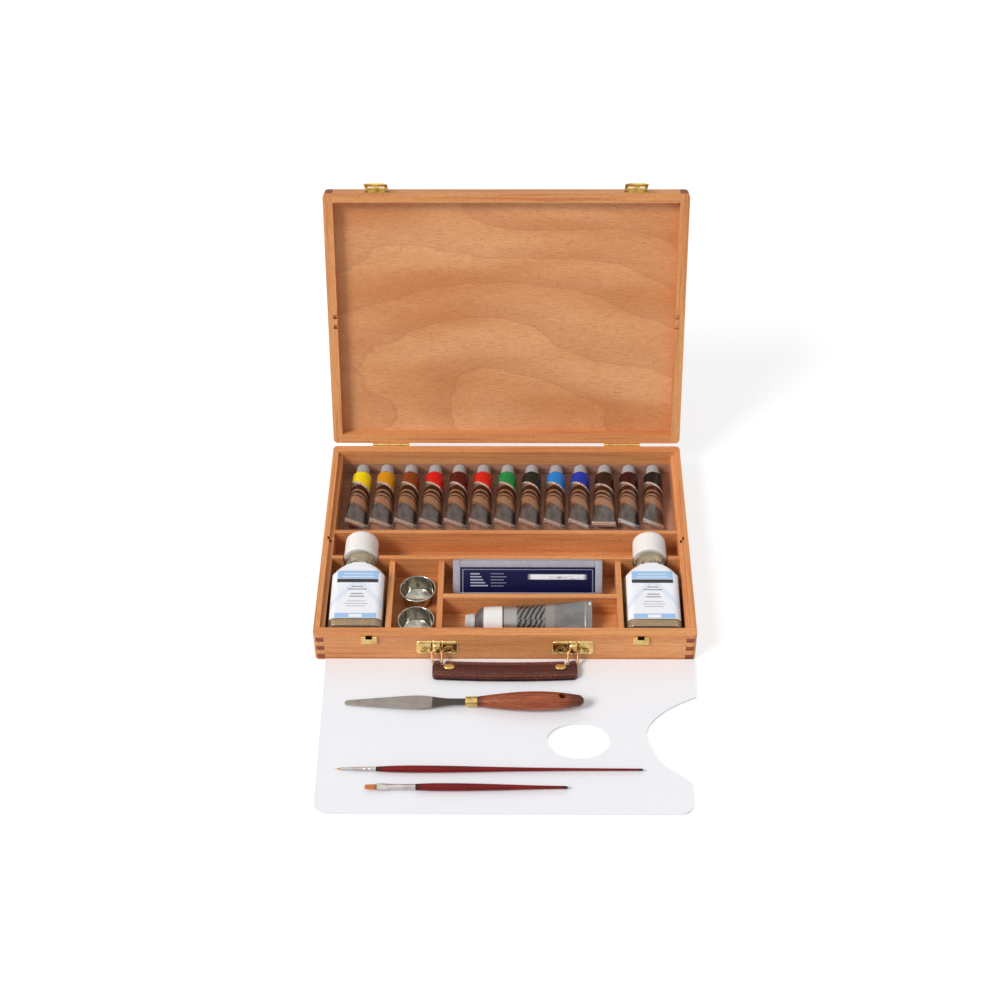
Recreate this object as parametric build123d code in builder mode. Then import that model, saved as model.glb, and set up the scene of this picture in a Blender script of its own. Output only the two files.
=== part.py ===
from build123d import *
from math import atan2, cos, degrees, radians, sin, sqrt
import os

os.makedirs("parts", exist_ok=True)

# All sizes are in millimetres. The wooden base stands on the floor at height zero, centred
# left to right on x and front to back on y. The front of the box faces negative y.

# Wooden base of the box. Its width and depth follow from the bays inside it.
base_height = 38.0
end_wall = 10.5
side_wall = 11.0
corner_radius = 5.0
finger_height = 6.2
finger_spacing = 12.4
finger_start = 2.1
finger_count = 3
floor_thickness = 4.0
ledge_width = 4.5
ledge_depth = 5.0
mortise_side = 4.5
mortise_depth = 3.0
base_mortise_y = -4.0

# Dividers inside the base.
divider_thickness = 5.0
cross_divider_thickness = 6.0
cross_divider_drop = 4.0
brush_channel = 34.9

# Lid, built in its opened pose.
lid_height = 16.0
lid_panel_thickness = 3.0
lid_wall = 10.5
lid_open_angle = 106.5
seam_gap = 0.2
lid_mortise_y = (-6.0, 6.0)

# Hinges at the back.
hinge_length = 42.0
hinge_x = 133.5
knuckle_radius = 2.0
knuckle_count = 5
hinge_pin_radius = 1.0
pin_clearance = 0.08
leaf_thickness = 1.0
leaf_height = 13.0
knuckle_gap = 0.2
screw_head_radius = 2.4
screw_head_height = 0.8
screw_shank_radius = 1.2
screw_length = 7.0
hinge_screw_spacing = 26.0

# Catches: plate, pin and hasp on the lid, keeper on the base.
catch_x = 141.5
catch_plate_width = 25.5
catch_plate_height = 11.0
catch_sheet = 1.0
catch_pin_height = 7.0
catch_pin_radius = 0.8
catch_barrel_radius = 1.7
catch_barrel_gap = 0.3
hasp_length = 17.5
hasp_width = 25.0
hasp_window_width = 18.6
hasp_bar = 3.2
hasp_angle = 30.0
keeper_width = 16.5
keeper_height = 10.5
keeper_top_gap = 1.6
keeper_depth = 2.4
keeper_slot_width = 7.0
keeper_slot_height = 3.2
keeper_slot_depth = 1.6

# Carrying handle on the front wall.
handle_x = 71.0
bracket_width = 44.0
bracket_height = 19.0
bracket_z = 19.0
bracket_sheet = 1.2
bracket_screw_spacing = 25.2
bracket_screw_z = 16.8
bridge_width = 6.0
bridge_height = 13.0
bridge_depth = 5.2
ring_wire_radius = 1.2
ring_width = 10.0
ring_pivot_y_gap = 3.4
ring_pivot_z = 16.5
ring_clearance = 0.7
ring_foot_y_gap = 12.2
ring_foot_z = 8.0
grip_length = 151.0
grip_width = 22.0
grip_thickness = 8.0
grip_bow = 2.5
grip_edge_radius = 3.2
grip_lift = 0.5
rivet_long = 11.4
rivet_short = 7.6
rivet_height = 1.4
rivet_x = 58.0

# Clear tray with thirteen small tubes.
tube_count = 13
tube_gap = 0.9
tube_left_gap = 8.85
tube_right_gap = 6.45
tube_back_gap = 2.6
tube_front_gap = 25.8
tray_gap = 0.6
tray_sheet = 0.8
tray_height = 16.0
tray_rib = 1.0
tray_rib_height = 7.0
tray_lift = 0.2
tube_radius = 10.75
tube_body = 69.5
tube_crimp = 6.5
tube_tail_width = 27.0
tube_tail_thickness = 2.4
tube_slant = 2.1
tube_roll = -25.0
flat_tube = 11
tube_droop = 1.9
shoulder_height = 4.5
tube_neck_radius = 4.2
tube_neck_length = 8.0
tube_cap_radius = 8.2
tube_cap_length = 13.0
thread_clearance = 0.25
seat_clearance = 0.3

# Large paint tube lying in the front compartment.
large_tube_radius = 15.0
large_tube_body = 108.0
large_tube_crimp = 8.0
large_tail_width = 44.0
large_tail_thickness = 3.0
large_shoulder_height = 8.0
large_neck_radius = 5.0
large_cap_radius = 7.8
large_cap_length = 10.5
large_tube_gap = 24.1
large_tube_shift = 1.1
large_tube_roll = 35.0

# Glass bottles with screw caps, leaning on a notch in the brush divider.
bottle_width = 58.0
bottle_thickness = 32.0
bottle_corner = 9.0
bottle_body = 72.0
bottle_shoulder = 17.0
bottle_glass = 2.4
bottle_neck_radius = 16.2
bottle_neck = 14.5
finish_radius = 14.6
finish_length = 22.0
bottle_heel = 3.5
bottle_cap_radius = 18.5
bottle_cap_length = 28.0
bottle_cap_wall = 2.2
bottle_tilt = 5.2
bottle_front_gap = 7.2
bottle_left_gap = 2.5
bottle_right_gap = 3.05
neck_over_divider = 3.5
cap_notch_clearance = 0.5

# Metal dipper cups.
cup_radius = 20.0
cup_base_radius = 15.5
cup_height = 17.8
cup_sheet = 0.8
cup_bead = 1.1
cup_left_gap = 5.5
cup_right_gap = 2.0
cup_back_gap = 14.3
cup_middle_gap = 6.1

# Charcoal case leaning in the middle compartment.
case_length = 161.5
case_height = 36.0
case_thickness = 15.0
case_lean = 52.0
case_left_gap = 9.8
case_right_gap = 14.1
case_back_gap = 0.5
case_front_gap = 14.6
case_edge = 1.5
case_label_depth = 0.6
case_frame = 8.0
case_frame_top = 7.5

# White palette on the floor in front of the box.
palette_thickness = 3.0
palette_gap = 1.5
palette_depth = 201.2
palette_back_width = 387.5
palette_right_inset = 1.0
palette_left_slope = 3.0
palette_corner = 12.0
bay_points = [(-2.1, -51.9), (-24.4, -63.4), (-47.3, -83.1), (-55.9, -100.5), (-52.0, -120.9),
              (-40.2, -141.3), (-22.3, -156.1), (-13.7, -165.9)]
palette_right_front = -14.6
thumb_hole_from_right = 124.8
thumb_hole_from_back = 110.6
thumb_hole_long = 31.7
thumb_hole_short = 22.8

# Palette knife lying on the palette.
knife_from_left = 24.5
knife_from_back = 62.1
knife_turn = -1.5
knife_rise = 2.7
knife_tip_lift = 1.2
blade_length = 92.0
blade_half_width = 9.0
blade_neck_length = 32.5
blade_neck_half_width = 4.3
blade_thickness = 1.2
ferrule_length = 12.0
ferrule_radius = 5.2
knife_handle_length = 108.5
knife_handle_radius = 10.0
knife_handle_end_radius = 5.5
knife_hole_radius = 3.5
knife_hole_from_end = 21.5

# Long round brush and short flat brush.
long_brush_from_left = 20.7
long_brush_from_back = 150.5
long_hair = 6.0
long_ferrule = 35.0
long_handle = 264.5
long_brush_radius = 3.6
long_ferrule_radius = 2.2
short_brush_from_left = 51.3
short_brush_from_back = 173.1
short_hair = 13.0
short_ferrule = 37.5
short_handle = 149.5
short_brush_radius = 3.9
short_ferrule_radius = 2.9
flat_hair_width = 6.4
flat_hair_thickness = 1.8
hair_strand = 0.16
hair_backing = 0.8

# Bays of the base, each sized by what lies in it. The wider row sets the width of the box.
case_run = case_height * cos(radians(case_lean))
case_reach = case_thickness * sin(radians(case_lean))
tube_pitch = tube_tail_width + tube_gap
tube_row = tube_count * tube_pitch + tube_left_gap + tube_right_gap
left_bottle_bay = bottle_width + 2 * bottle_left_gap
right_bottle_bay = bottle_width + 2 * bottle_right_gap
cup_bay = cup_left_gap + 2 * cup_radius + cup_right_gap
case_bay = case_left_gap + case_length + case_right_gap
front_row = left_bottle_bay + cup_bay + case_bay + right_bottle_bay + 3 * cross_divider_thickness
inner_half_width = max(tube_row, front_row) / 2
tube_back_room = tray_gap + tray_sheet + tube_back_gap + tube_cap_length + seat_clearance + shoulder_height
tube_bay_depth = tube_back_room + tube_body + tube_crimp + tube_front_gap + tray_sheet + tray_gap
front_bay_depth = bottle_front_gap + bottle_body + bottle_shoulder + bottle_neck - neck_over_divider
case_bay_depth = case_back_gap + case_run + case_reach + case_front_gap
inner_half_depth = (tube_bay_depth + brush_channel + front_bay_depth + 2 * divider_thickness) / 2

# Values that follow from the sizes above.
box_width = 2 * (inner_half_width + side_wall)
box_depth = 2 * (inner_half_depth + end_wall)
tube_divider_y = inner_half_depth - tube_bay_depth - divider_thickness / 2
brush_divider_y = -inner_half_depth + front_bay_depth + divider_thickness / 2
brush_front_y = brush_divider_y - divider_thickness / 2
mid_divider_y = brush_front_y - case_bay_depth - cross_divider_thickness / 2
cross_divider_x = (-inner_half_width + left_bottle_bay + cross_divider_thickness / 2,
                   -inner_half_width + left_bottle_bay + cup_bay + 1.5 * cross_divider_thickness,
                   inner_half_width - right_bottle_bay - cross_divider_thickness / 2)
ledge_z = base_height - ledge_depth
cross_divider_z = ledge_z - cross_divider_drop
front_face_y = -box_depth / 2
finger_zs = [finger_start + finger_spacing * i + finger_height / 2 for i in range(finger_count)]
palette_top = palette_thickness
palette_back_y = front_face_y - palette_gap
palette_right_x = box_width / 2 - palette_right_inset
palette_left_x = palette_right_x - palette_back_width
pin_y = box_depth / 2 + knuckle_radius + pin_clearance
pin_z = base_height + seam_gap / 2
hinge_screw_z = pin_z - knuckle_radius - leaf_height / 2


def tab_spans():
    # Heights on a corner that belong to the front and back walls, between the side wall fingers.
    edges = [0.0]
    for z in finger_zs:
        edges += [z - finger_height / 2, z + finger_height / 2]
    edges.append(base_height)
    return [(edges[i], edges[i + 1]) for i in range(0, len(edges), 2)]


def save(piece, name):
    piece.part.label = name
    export_step(piece.part, f"parts/{name}.step")


# Front and back walls, with the slots that take the side wall fingers.
for name, side in (("base_front", -1), ("base_back", 1)):
    with BuildPart() as end_board:
        with BuildSketch():
            RectangleRounded(box_width, box_depth, corner_radius)
        extrude(amount=base_height)
        with Locations((0, side * (inner_half_depth + end_wall / 2), base_height / 2)):
            Box(box_width, end_wall, base_height, mode=Mode.INTERSECT)
        for x in (-1, 1):
            for z in finger_zs:
                with Locations((x * (inner_half_width + side_wall / 2),
                                side * (inner_half_depth + end_wall / 2), z)):
                    Box(side_wall, end_wall, finger_height, mode=Mode.SUBTRACT)
        pairs, spacing, screw_z, sheet = ((handle_x, bracket_screw_spacing, bracket_screw_z, bracket_sheet),
                                          (hinge_x, hinge_screw_spacing, hinge_screw_z, leaf_thickness))[side > 0]
        for x in (-pairs, pairs):
            for screw_x in (-spacing / 2, spacing / 2):
                with Locations(Location((x + screw_x, side * box_depth / 2, screw_z), (90, 0, 0))):
                    Cylinder(screw_shank_radius, 2 * (screw_length - sheet), mode=Mode.SUBTRACT)
    save(end_board, name)

# Side walls with fingers at both ends, the palette ledge and one small mortise each.
for name, side in (("base_left", -1), ("base_right", 1)):
    with BuildPart() as side_board:
        with BuildSketch():
            RectangleRounded(box_width, box_depth, corner_radius)
        extrude(amount=base_height)
        with Locations((side * (inner_half_width + side_wall / 2), 0, base_height / 2)):
            Box(side_wall, box_depth, base_height, mode=Mode.INTERSECT)
        for y in (-1, 1):
            for low, high in tab_spans():
                with Locations((side * (inner_half_width + side_wall / 2),
                                y * (inner_half_depth + end_wall / 2), (low + high) / 2)):
                    Box(side_wall, end_wall, high - low, mode=Mode.SUBTRACT)
        with Locations((side * (inner_half_width + ledge_width / 2), 0, base_height - ledge_depth / 2)):
            Box(ledge_width, 2 * inner_half_depth, ledge_depth, mode=Mode.SUBTRACT)
        with Locations((side * (inner_half_width + ledge_width), base_mortise_y,
                        base_height - (ledge_depth + mortise_depth) / 2)):
            Box(mortise_side, mortise_side, ledge_depth + mortise_depth, mode=Mode.SUBTRACT)
    save(side_board, name)

with BuildPart() as base_floor:
    with Locations((0, 0, floor_thickness / 2)):
        Box(2 * inner_half_width, 2 * inner_half_depth, floor_thickness)
save(base_floor, "base_floor")

# Full width dividers. The brush divider has a round bottomed notch under each bottle cap.
with BuildPart() as tube_divider:
    with Locations((0, tube_divider_y, (floor_thickness + ledge_z) / 2)):
        Box(2 * inner_half_width, divider_thickness, ledge_z - floor_thickness)
save(tube_divider, "tube_divider")

bottle_base_y = -inner_half_depth + bottle_front_gap
bottle_left_x = -inner_half_width + bottle_left_gap + bottle_width / 2
bottle_right_x = inner_half_width - bottle_right_gap - bottle_width / 2
bottle_base_z = floor_thickness + seat_clearance + bottle_thickness / 2 * cos(radians(bottle_tilt))
bottle_frame_y = bottle_base_y - bottle_thickness / 2 * sin(radians(bottle_tilt))
notch_z = bottle_base_z + (brush_divider_y - bottle_frame_y) * sin(radians(bottle_tilt)) / cos(radians(bottle_tilt))
notch_radius = bottle_cap_radius + cap_notch_clearance + divider_thickness * sin(radians(bottle_tilt)) / 2

with BuildPart() as brush_divider:
    with Locations((0, brush_divider_y, (floor_thickness + ledge_z) / 2)):
        Box(2 * inner_half_width, divider_thickness, ledge_z - floor_thickness)
    with BuildSketch(Plane.XZ.offset(-brush_divider_y + divider_thickness)) as notches:
        for x in (bottle_left_x, bottle_right_x):
            with Locations((x, notch_z)):
                Circle(notch_radius)
            with Locations((x, notch_z + base_height / 2)):
                Rectangle(2 * notch_radius, base_height)
    extrude(amount=-2 * divider_thickness, mode=Mode.SUBTRACT)
save(brush_divider, "brush_divider")

# Three equal cross dividers between the front wall and the brush divider, and the middle divider.
cross_length = brush_front_y + inner_half_depth
with BuildPart() as cross_dividers:
    for x in cross_divider_x:
        with Locations((x, brush_front_y - cross_length / 2, (floor_thickness + cross_divider_z) / 2)):
            Box(cross_divider_thickness, cross_length, cross_divider_z - floor_thickness)
save(cross_dividers, "cross_dividers")

mid_left = cross_divider_x[1] + cross_divider_thickness / 2
mid_right = cross_divider_x[2] - cross_divider_thickness / 2
with BuildPart() as mid_divider:
    with Locations(((mid_left + mid_right) / 2, mid_divider_y, (floor_thickness + cross_divider_z) / 2)):
        Box(mid_right - mid_left, cross_divider_thickness, cross_divider_z - floor_thickness)
save(mid_divider, "mid_divider")

# The lid is drawn closed around the hinge pin and placed by one turned plane.
lid_lean = radians(lid_open_angle)
lid_plane = Plane(origin=(0, pin_y, pin_z), x_dir=(1, 0, 0), z_dir=(0, sin(lid_lean), cos(lid_lean)))
lid_pose = lid_plane.location
lid_middle_y = -pin_y
rim_z = seam_gap / 2
lid_top_z = rim_z + lid_height

for name, side in (("lid_front_rail", -1), ("lid_back_rail", 1)):
    with BuildPart() as lid_end:
        with BuildSketch(Plane(lid_pose * Pos(0, lid_middle_y, rim_z))):
            RectangleRounded(box_width, box_depth, corner_radius)
        extrude(amount=lid_height)
        with Locations(lid_pose * Pos(0, lid_middle_y + side * (box_depth - lid_wall) / 2,
                                      rim_z + lid_height / 2)):
            Box(box_width - 2 * lid_wall, lid_wall, lid_height, mode=Mode.INTERSECT)
        with Locations(lid_pose * Pos(0, lid_middle_y, lid_top_z - lid_panel_thickness / 2)):
            Box(box_width - lid_wall, box_depth - lid_wall, lid_panel_thickness, mode=Mode.SUBTRACT)
        if side > 0:
            for x in (-hinge_x, hinge_x):
                for screw_x in (-hinge_screw_spacing / 2, hinge_screw_spacing / 2):
                    with Locations(lid_pose * Pos(x + screw_x, box_depth / 2 - pin_y,
                                                  knuckle_radius + leaf_height / 2) * Rot(90, 0, 0)):
                        Cylinder(screw_shank_radius, 2 * (screw_length - leaf_thickness), mode=Mode.SUBTRACT)
    save(lid_end, name)

for name, side in (("lid_left_rail", -1), ("lid_right_rail", 1)):
    with BuildPart() as lid_side:
        with BuildSketch(Plane(lid_pose * Pos(0, lid_middle_y, rim_z))):
            RectangleRounded(box_width, box_depth, corner_radius)
        extrude(amount=lid_height)
        with Locations(lid_pose * Pos(side * (box_width - lid_wall) / 2, lid_middle_y, rim_z + lid_height / 2)):
            Box(lid_wall, box_depth, lid_height, mode=Mode.INTERSECT)
        with Locations(lid_pose * Pos(0, lid_middle_y, lid_top_z - lid_panel_thickness / 2)):
            Box(box_width - lid_wall, box_depth - lid_wall, lid_panel_thickness, mode=Mode.SUBTRACT)
        for y in lid_mortise_y:
            with Locations(lid_pose * Pos(side * (box_width / 2 - lid_wall + mortise_side / 2),
                                          lid_middle_y + y, rim_z + mortise_depth / 2)):
                Box(mortise_side, mortise_side, mortise_depth, mode=Mode.SUBTRACT)
    save(lid_side, name)

with BuildPart() as lid_panel:
    with Locations(lid_pose * Pos(0, lid_middle_y, lid_top_z - lid_panel_thickness / 2)):
        Box(box_width - lid_wall, box_depth - lid_wall, lid_panel_thickness)
save(lid_panel, "lid_panel")

# Butt hinges: the base leaves carry the odd knuckles, the lid leaves the even ones.
knuckle_length = hinge_length / knuckle_count
world_pose = Pos(0, pin_y, pin_z)
leaf_inner_y = box_depth / 2 - pin_y
for name, pose, sense, picks in (("hinge_base_leaves", world_pose, -1, (0, 2, 4)),
                                 ("hinge_lid_leaves", lid_pose, 1, (1, 3))):
    with BuildPart() as leaves:
        for x in (-hinge_x, hinge_x):
            with Locations(pose * Pos(x, leaf_inner_y + leaf_thickness / 2,
                                      sense * (knuckle_radius + knuckle_gap + leaf_height / 2))):
                Box(hinge_length, leaf_thickness, leaf_height)
            for i in picks:
                knuckle_x = x + (i - (knuckle_count - 1) / 2) * knuckle_length
                with Locations(pose * Pos(knuckle_x, leaf_inner_y + leaf_thickness / 2,
                                          sense * (knuckle_radius + knuckle_gap) / 2)):
                    Box(knuckle_length - knuckle_gap, leaf_thickness, knuckle_radius + knuckle_gap)
                with Locations(pose * Pos(knuckle_x, 0, 0) * Rot(0, 90, 0)):
                    Cylinder(knuckle_radius, knuckle_length - knuckle_gap)
            with Locations(pose * Pos(x, 0, 0) * Rot(0, 90, 0)):
                Cylinder(hinge_pin_radius + pin_clearance, hinge_length + 2, mode=Mode.SUBTRACT)
            for screw_x in (-hinge_screw_spacing / 2, hinge_screw_spacing / 2):
                with Locations(pose * Pos(x + screw_x, 0, sense * (knuckle_radius + leaf_height / 2))
                               * Rot(90, 0, 0)):
                    Cylinder(screw_shank_radius, 4 * knuckle_radius, mode=Mode.SUBTRACT)
    save(leaves, name)

with BuildPart() as hinge_pins:
    for x in (-hinge_x, hinge_x):
        with Locations(Location((x, pin_y, pin_z), (0, 90, 0))):
            Cylinder(hinge_pin_radius, hinge_length)
save(hinge_pins, "hinge_pins")

# Catches. The plate is screwed to the lid's front edge and the hasp turns on its pin.
lid_front_y = lid_middle_y - box_depth / 2
catch_pin_y = lid_front_y - catch_sheet - catch_barrel_gap - catch_barrel_radius
catch_pin_z = rim_z + catch_pin_height
barrel_half = hasp_width / 2 - hasp_bar - 2 * knuckle_gap
pin_bore = catch_pin_radius + pin_clearance

with BuildPart() as catch_plates:
    for x in (-catch_x, catch_x):
        with Locations(lid_pose * Pos(x, lid_front_y - catch_sheet / 2, rim_z + 1 + catch_plate_height / 2)):
            Box(catch_plate_width, catch_sheet, catch_plate_height)
        with Locations(lid_pose * Pos(x, catch_pin_y, catch_pin_z) * Rot(0, 90, 0)):
            Cylinder(catch_barrel_radius, 2 * barrel_half)
        with Locations(lid_pose * Pos(x, (catch_pin_y + lid_front_y - catch_sheet) / 2, catch_pin_z)):
            Box(2 * barrel_half, catch_barrel_radius + catch_barrel_gap, 2 * catch_barrel_radius)
        with Locations(lid_pose * Pos(x, catch_pin_y, catch_pin_z) * Rot(0, 90, 0)):
            Cylinder(pin_bore, hasp_width, mode=Mode.SUBTRACT)
save(catch_plates, "catch_plates")

with BuildPart() as catch_pins:
    for x in (-catch_x, catch_x):
        with Locations(lid_pose * Pos(x, catch_pin_y, catch_pin_z) * Rot(0, 90, 0)):
            Cylinder(catch_pin_radius, hasp_width)
save(catch_pins, "catch_pins")

keeper_top = base_height - keeper_top_gap
tongue_drop = pin_z + catch_pin_z - keeper_top + keeper_slot_height / 2
tongue_reach = catch_barrel_gap + 2 * catch_barrel_radius - keeper_depth + keeper_slot_depth / 2
hasp_face = -catch_barrel_radius + catch_sheet / 2
for name, x in (("catch_hasp_left", -catch_x), ("catch_hasp_right", catch_x)):
    hasp_pose = lid_pose * Pos(x, catch_pin_y, catch_pin_z) * Rot(-hasp_angle, 0, 0)
    with BuildPart() as hasp:
        for side in (-1, 1):
            with Locations(hasp_pose * Pos(side * (hasp_width - hasp_bar) / 2, 0, 0) * Rot(0, 90, 0)):
                Cylinder(catch_barrel_radius, hasp_bar)
        with Locations(hasp_pose * Pos(0, hasp_face, -hasp_length / 2)):
            Box(hasp_width, catch_sheet, hasp_length)
        window_top = hasp_bar
        window_bottom = -(tongue_drop - keeper_slot_height)
        with Locations(hasp_pose * Pos(0, hasp_face, (window_top + window_bottom) / 2)):
            Box(hasp_width - 2 * hasp_bar, 2 * catch_sheet, window_top - window_bottom, mode=Mode.SUBTRACT)
        with Locations(hasp_pose * Pos(0, hasp_face + catch_sheet / 2 + tongue_reach / 2, -tongue_drop)):
            Box(keeper_slot_width - 1, tongue_reach, keeper_slot_height - 1)
        with Locations(hasp_pose * Pos(0, hasp_face - catch_sheet / 2, -hasp_length + catch_sheet / 2)):
            Box(hasp_width - 2 * hasp_bar, catch_sheet, catch_sheet)
        with Locations(hasp_pose * Rot(0, 90, 0)):
            Cylinder(pin_bore, hasp_width + 1, mode=Mode.SUBTRACT)
    save(hasp, name)

with BuildPart() as catch_keepers:
    for x in (-catch_x, catch_x):
        with Locations((x, front_face_y - keeper_depth / 2, keeper_top - keeper_height / 2)):
            Box(keeper_width, keeper_depth, keeper_height)
        with Locations((x, front_face_y - keeper_depth + keeper_slot_depth / 2,
                        keeper_top - keeper_slot_height / 2)):
            Box(keeper_slot_width, keeper_slot_depth, keeper_slot_height, mode=Mode.SUBTRACT)
save(catch_keepers, "catch_keepers")

# Handle brackets: a screwed plate whose raised bridge holds the wire ring.
ring_pivot_y = front_face_y - ring_pivot_y_gap
with BuildPart() as handle_brackets:
    for x in (-handle_x, handle_x):
        with Locations((x, front_face_y - bracket_sheet / 2, bracket_z)):
            Box(bracket_width, bracket_sheet, bracket_height)
        with Locations((x, front_face_y - bridge_depth / 2, ring_pivot_z)):
            Box(bridge_width, bridge_depth, bridge_height)
        with Locations(Location((x, ring_pivot_y, ring_pivot_z), (0, 90, 0))):
            Cylinder(ring_wire_radius + ring_clearance / 2, bridge_width + 1, mode=Mode.SUBTRACT)
        for screw_x in (-bracket_screw_spacing / 2, bracket_screw_spacing / 2):
            with Locations(Location((x + screw_x, front_face_y, bracket_screw_z), (90, 0, 0))):
                Cylinder(screw_shank_radius, 4 * bracket_sheet, mode=Mode.SUBTRACT)
save(handle_brackets, "handle_brackets")

# Screws with low round heads, in the base and in the lid.
with BuildPart() as base_screws:
    for hinge in (-hinge_x, hinge_x):
        for screw_x in (-hinge_screw_spacing / 2, hinge_screw_spacing / 2):
            leaf_face = box_depth / 2 + leaf_thickness
            with Locations(Location((hinge + screw_x, leaf_face + screw_head_height / 2, hinge_screw_z), (90, 0, 0))):
                Cylinder(screw_head_radius, screw_head_height)
            with Locations(Location((hinge + screw_x, leaf_face - screw_length / 2, hinge_screw_z), (90, 0, 0))):
                Cylinder(screw_shank_radius, screw_length)
    for bracket in (-handle_x, handle_x):
        for screw_x in (-bracket_screw_spacing / 2, bracket_screw_spacing / 2):
            plate_face = front_face_y - bracket_sheet
            with Locations(Location((bracket + screw_x, plate_face - screw_head_height / 2, bracket_screw_z),
                                    (90, 0, 0))):
                Cylinder(screw_head_radius, screw_head_height)
            with Locations(Location((bracket + screw_x, plate_face + screw_length / 2, bracket_screw_z),
                                    (90, 0, 0))):
                Cylinder(screw_shank_radius, screw_length)
save(base_screws, "base_screws")

with BuildPart() as lid_screws:
    for hinge in (-hinge_x, hinge_x):
        for screw_x in (-hinge_screw_spacing / 2, hinge_screw_spacing / 2):
            screw_pose = lid_pose * Pos(hinge + screw_x, leaf_inner_y + leaf_thickness,
                                        knuckle_radius + leaf_height / 2)
            with Locations(screw_pose * Pos(0, screw_head_height / 2, 0) * Rot(90, 0, 0)):
                Cylinder(screw_head_radius, screw_head_height)
            with Locations(screw_pose * Pos(0, -screw_length / 2, 0) * Rot(90, 0, 0)):
                Cylinder(screw_shank_radius, screw_length)
save(lid_screws, "lid_screws")

# Wire rings: each hangs in its bracket and passes through a leather ear of the grip.
foot_y = front_face_y - ring_foot_y_gap
ring_drop = sqrt((foot_y - ring_pivot_y) ** 2 + (ring_pivot_z - ring_foot_z) ** 2)
ring_plane = Plane(origin=(0, ring_pivot_y, ring_pivot_z), x_dir=(1, 0, 0),
                   z_dir=(0, (ring_pivot_z - ring_foot_z) / ring_drop, (foot_y - ring_pivot_y) / ring_drop))
ring_outline = ring_plane * RectangleRounded(ring_width, ring_drop, 1.5 * ring_wire_radius)
ring_middle = ring_plane.y_dir * (ring_drop / 2)
ring_paths = [(Pos(x, 0, 0) * Pos(*ring_middle) * ring_outline).face().outer_wire()
              for x in (-handle_x, handle_x)]
with BuildPart() as handle_rings:
    for path in ring_paths:
        with BuildSketch(Plane(origin=path @ 0, z_dir=path % 0)):
            Circle(ring_wire_radius)
        sweep(path=path)
save(handle_rings, "handle_rings")

# Leather grip: a padded strap with an ear at each end around the ring.
grip_back_y = foot_y + ring_wire_radius + 1.3
grip_front_y = grip_back_y - grip_width
grip_bottom = palette_top + grip_lift
ear_depth = 2 * (grip_back_y - foot_y) + 1.0
with BuildPart() as handle_grip:
    with BuildSketch(Plane.XY.offset(grip_bottom)) as grip_plan:
        with BuildLine():
            ThreePointArc((-grip_length / 2, grip_back_y), (0, grip_back_y - grip_bow),
                          (grip_length / 2, grip_back_y))
            Line((grip_length / 2, grip_back_y), (grip_length / 2, grip_front_y))
            ThreePointArc((grip_length / 2, grip_front_y), (0, grip_front_y - grip_bow),
                          (-grip_length / 2, grip_front_y))
            Line((-grip_length / 2, grip_front_y), (-grip_length / 2, grip_back_y))
        make_face()
    extrude(amount=grip_thickness)
    fillet(handle_grip.edges().filter_by(Axis.Z), radius=grip_edge_radius)
    fillet(handle_grip.faces().sort_by(Axis.Z)[-1].edges(), radius=0.8 * grip_edge_radius)
    fillet(handle_grip.faces().sort_by(Axis.Z)[0].edges(), radius=0.3 * grip_edge_radius)
    for x in (-handle_x, handle_x):
        for side in (-1, 1):
            with Locations((x + side * (ring_width / 2 + 1.0), grip_back_y - ear_depth / 2 + 2,
                            grip_bottom + grip_thickness / 2)):
                Box(ring_width - bridge_width + 2.0, ear_depth + 4, grip_thickness + 1, mode=Mode.SUBTRACT)
        with Locations(Location((x, foot_y, ring_foot_z), (0, 90, 0))):
            Cylinder(ring_wire_radius + pin_clearance, 2 * ring_width, mode=Mode.SUBTRACT)
save(handle_grip, "handle_grip")

with BuildPart() as handle_rivets:
    with BuildSketch(Plane.XY.offset(grip_bottom + grip_thickness)):
        with Locations((-rivet_x, (grip_back_y + grip_front_y) / 2), (rivet_x, (grip_back_y + grip_front_y) / 2)):
            Ellipse(rivet_long / 2, rivet_short / 2)
    extrude(amount=rivet_height)
    fillet(handle_rivets.faces().group_by(Axis.Z)[-1].edges(), radius=0.6 * rivet_height)
save(handle_rivets, "handle_rivets")

# Clear tray: a thin pan with low ribs between the tubes.
tray_front_y = tube_divider_y + divider_thickness / 2 + tray_gap
tray_back_y = inner_half_depth - tray_gap
tray_depth = tray_back_y - tray_front_y
tray_width = 2 * (inner_half_width - tray_gap)
tray_bottom = floor_thickness + tray_lift
tray_top = tray_bottom + tray_sheet
slant = radians(tube_slant)
tube_shoulder_y = inner_half_depth - tube_back_room
tube_xs = [-inner_half_width + tube_left_gap + (i + 0.5) * tube_pitch for i in range(tube_count)]
with BuildPart() as tube_tray:
    with Locations((0, (tray_front_y + tray_back_y) / 2, tray_bottom + tray_height / 2)):
        Box(tray_width, tray_depth, tray_height)
    with Locations((0, (tray_front_y + tray_back_y) / 2, tray_top + tray_height / 2)):
        Box(tray_width - 2 * tray_sheet, tray_depth - 2 * tray_sheet, tray_height, mode=Mode.SUBTRACT)
    for x in tube_xs[:-1]:
        rib_length = tray_depth - 2 * tray_sheet
        rib_y = (tray_front_y + tray_back_y) / 2
        rib_x = x + tube_pitch / 2 - (tube_shoulder_y - rib_y) * sin(slant)
        with Locations(Location((rib_x, rib_y, tray_top + tray_rib_height / 2), (0, 0, -tube_slant))):
            Box(tray_rib, rib_length, tray_rib_height)
save(tube_tray, "tube_tray")

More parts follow.
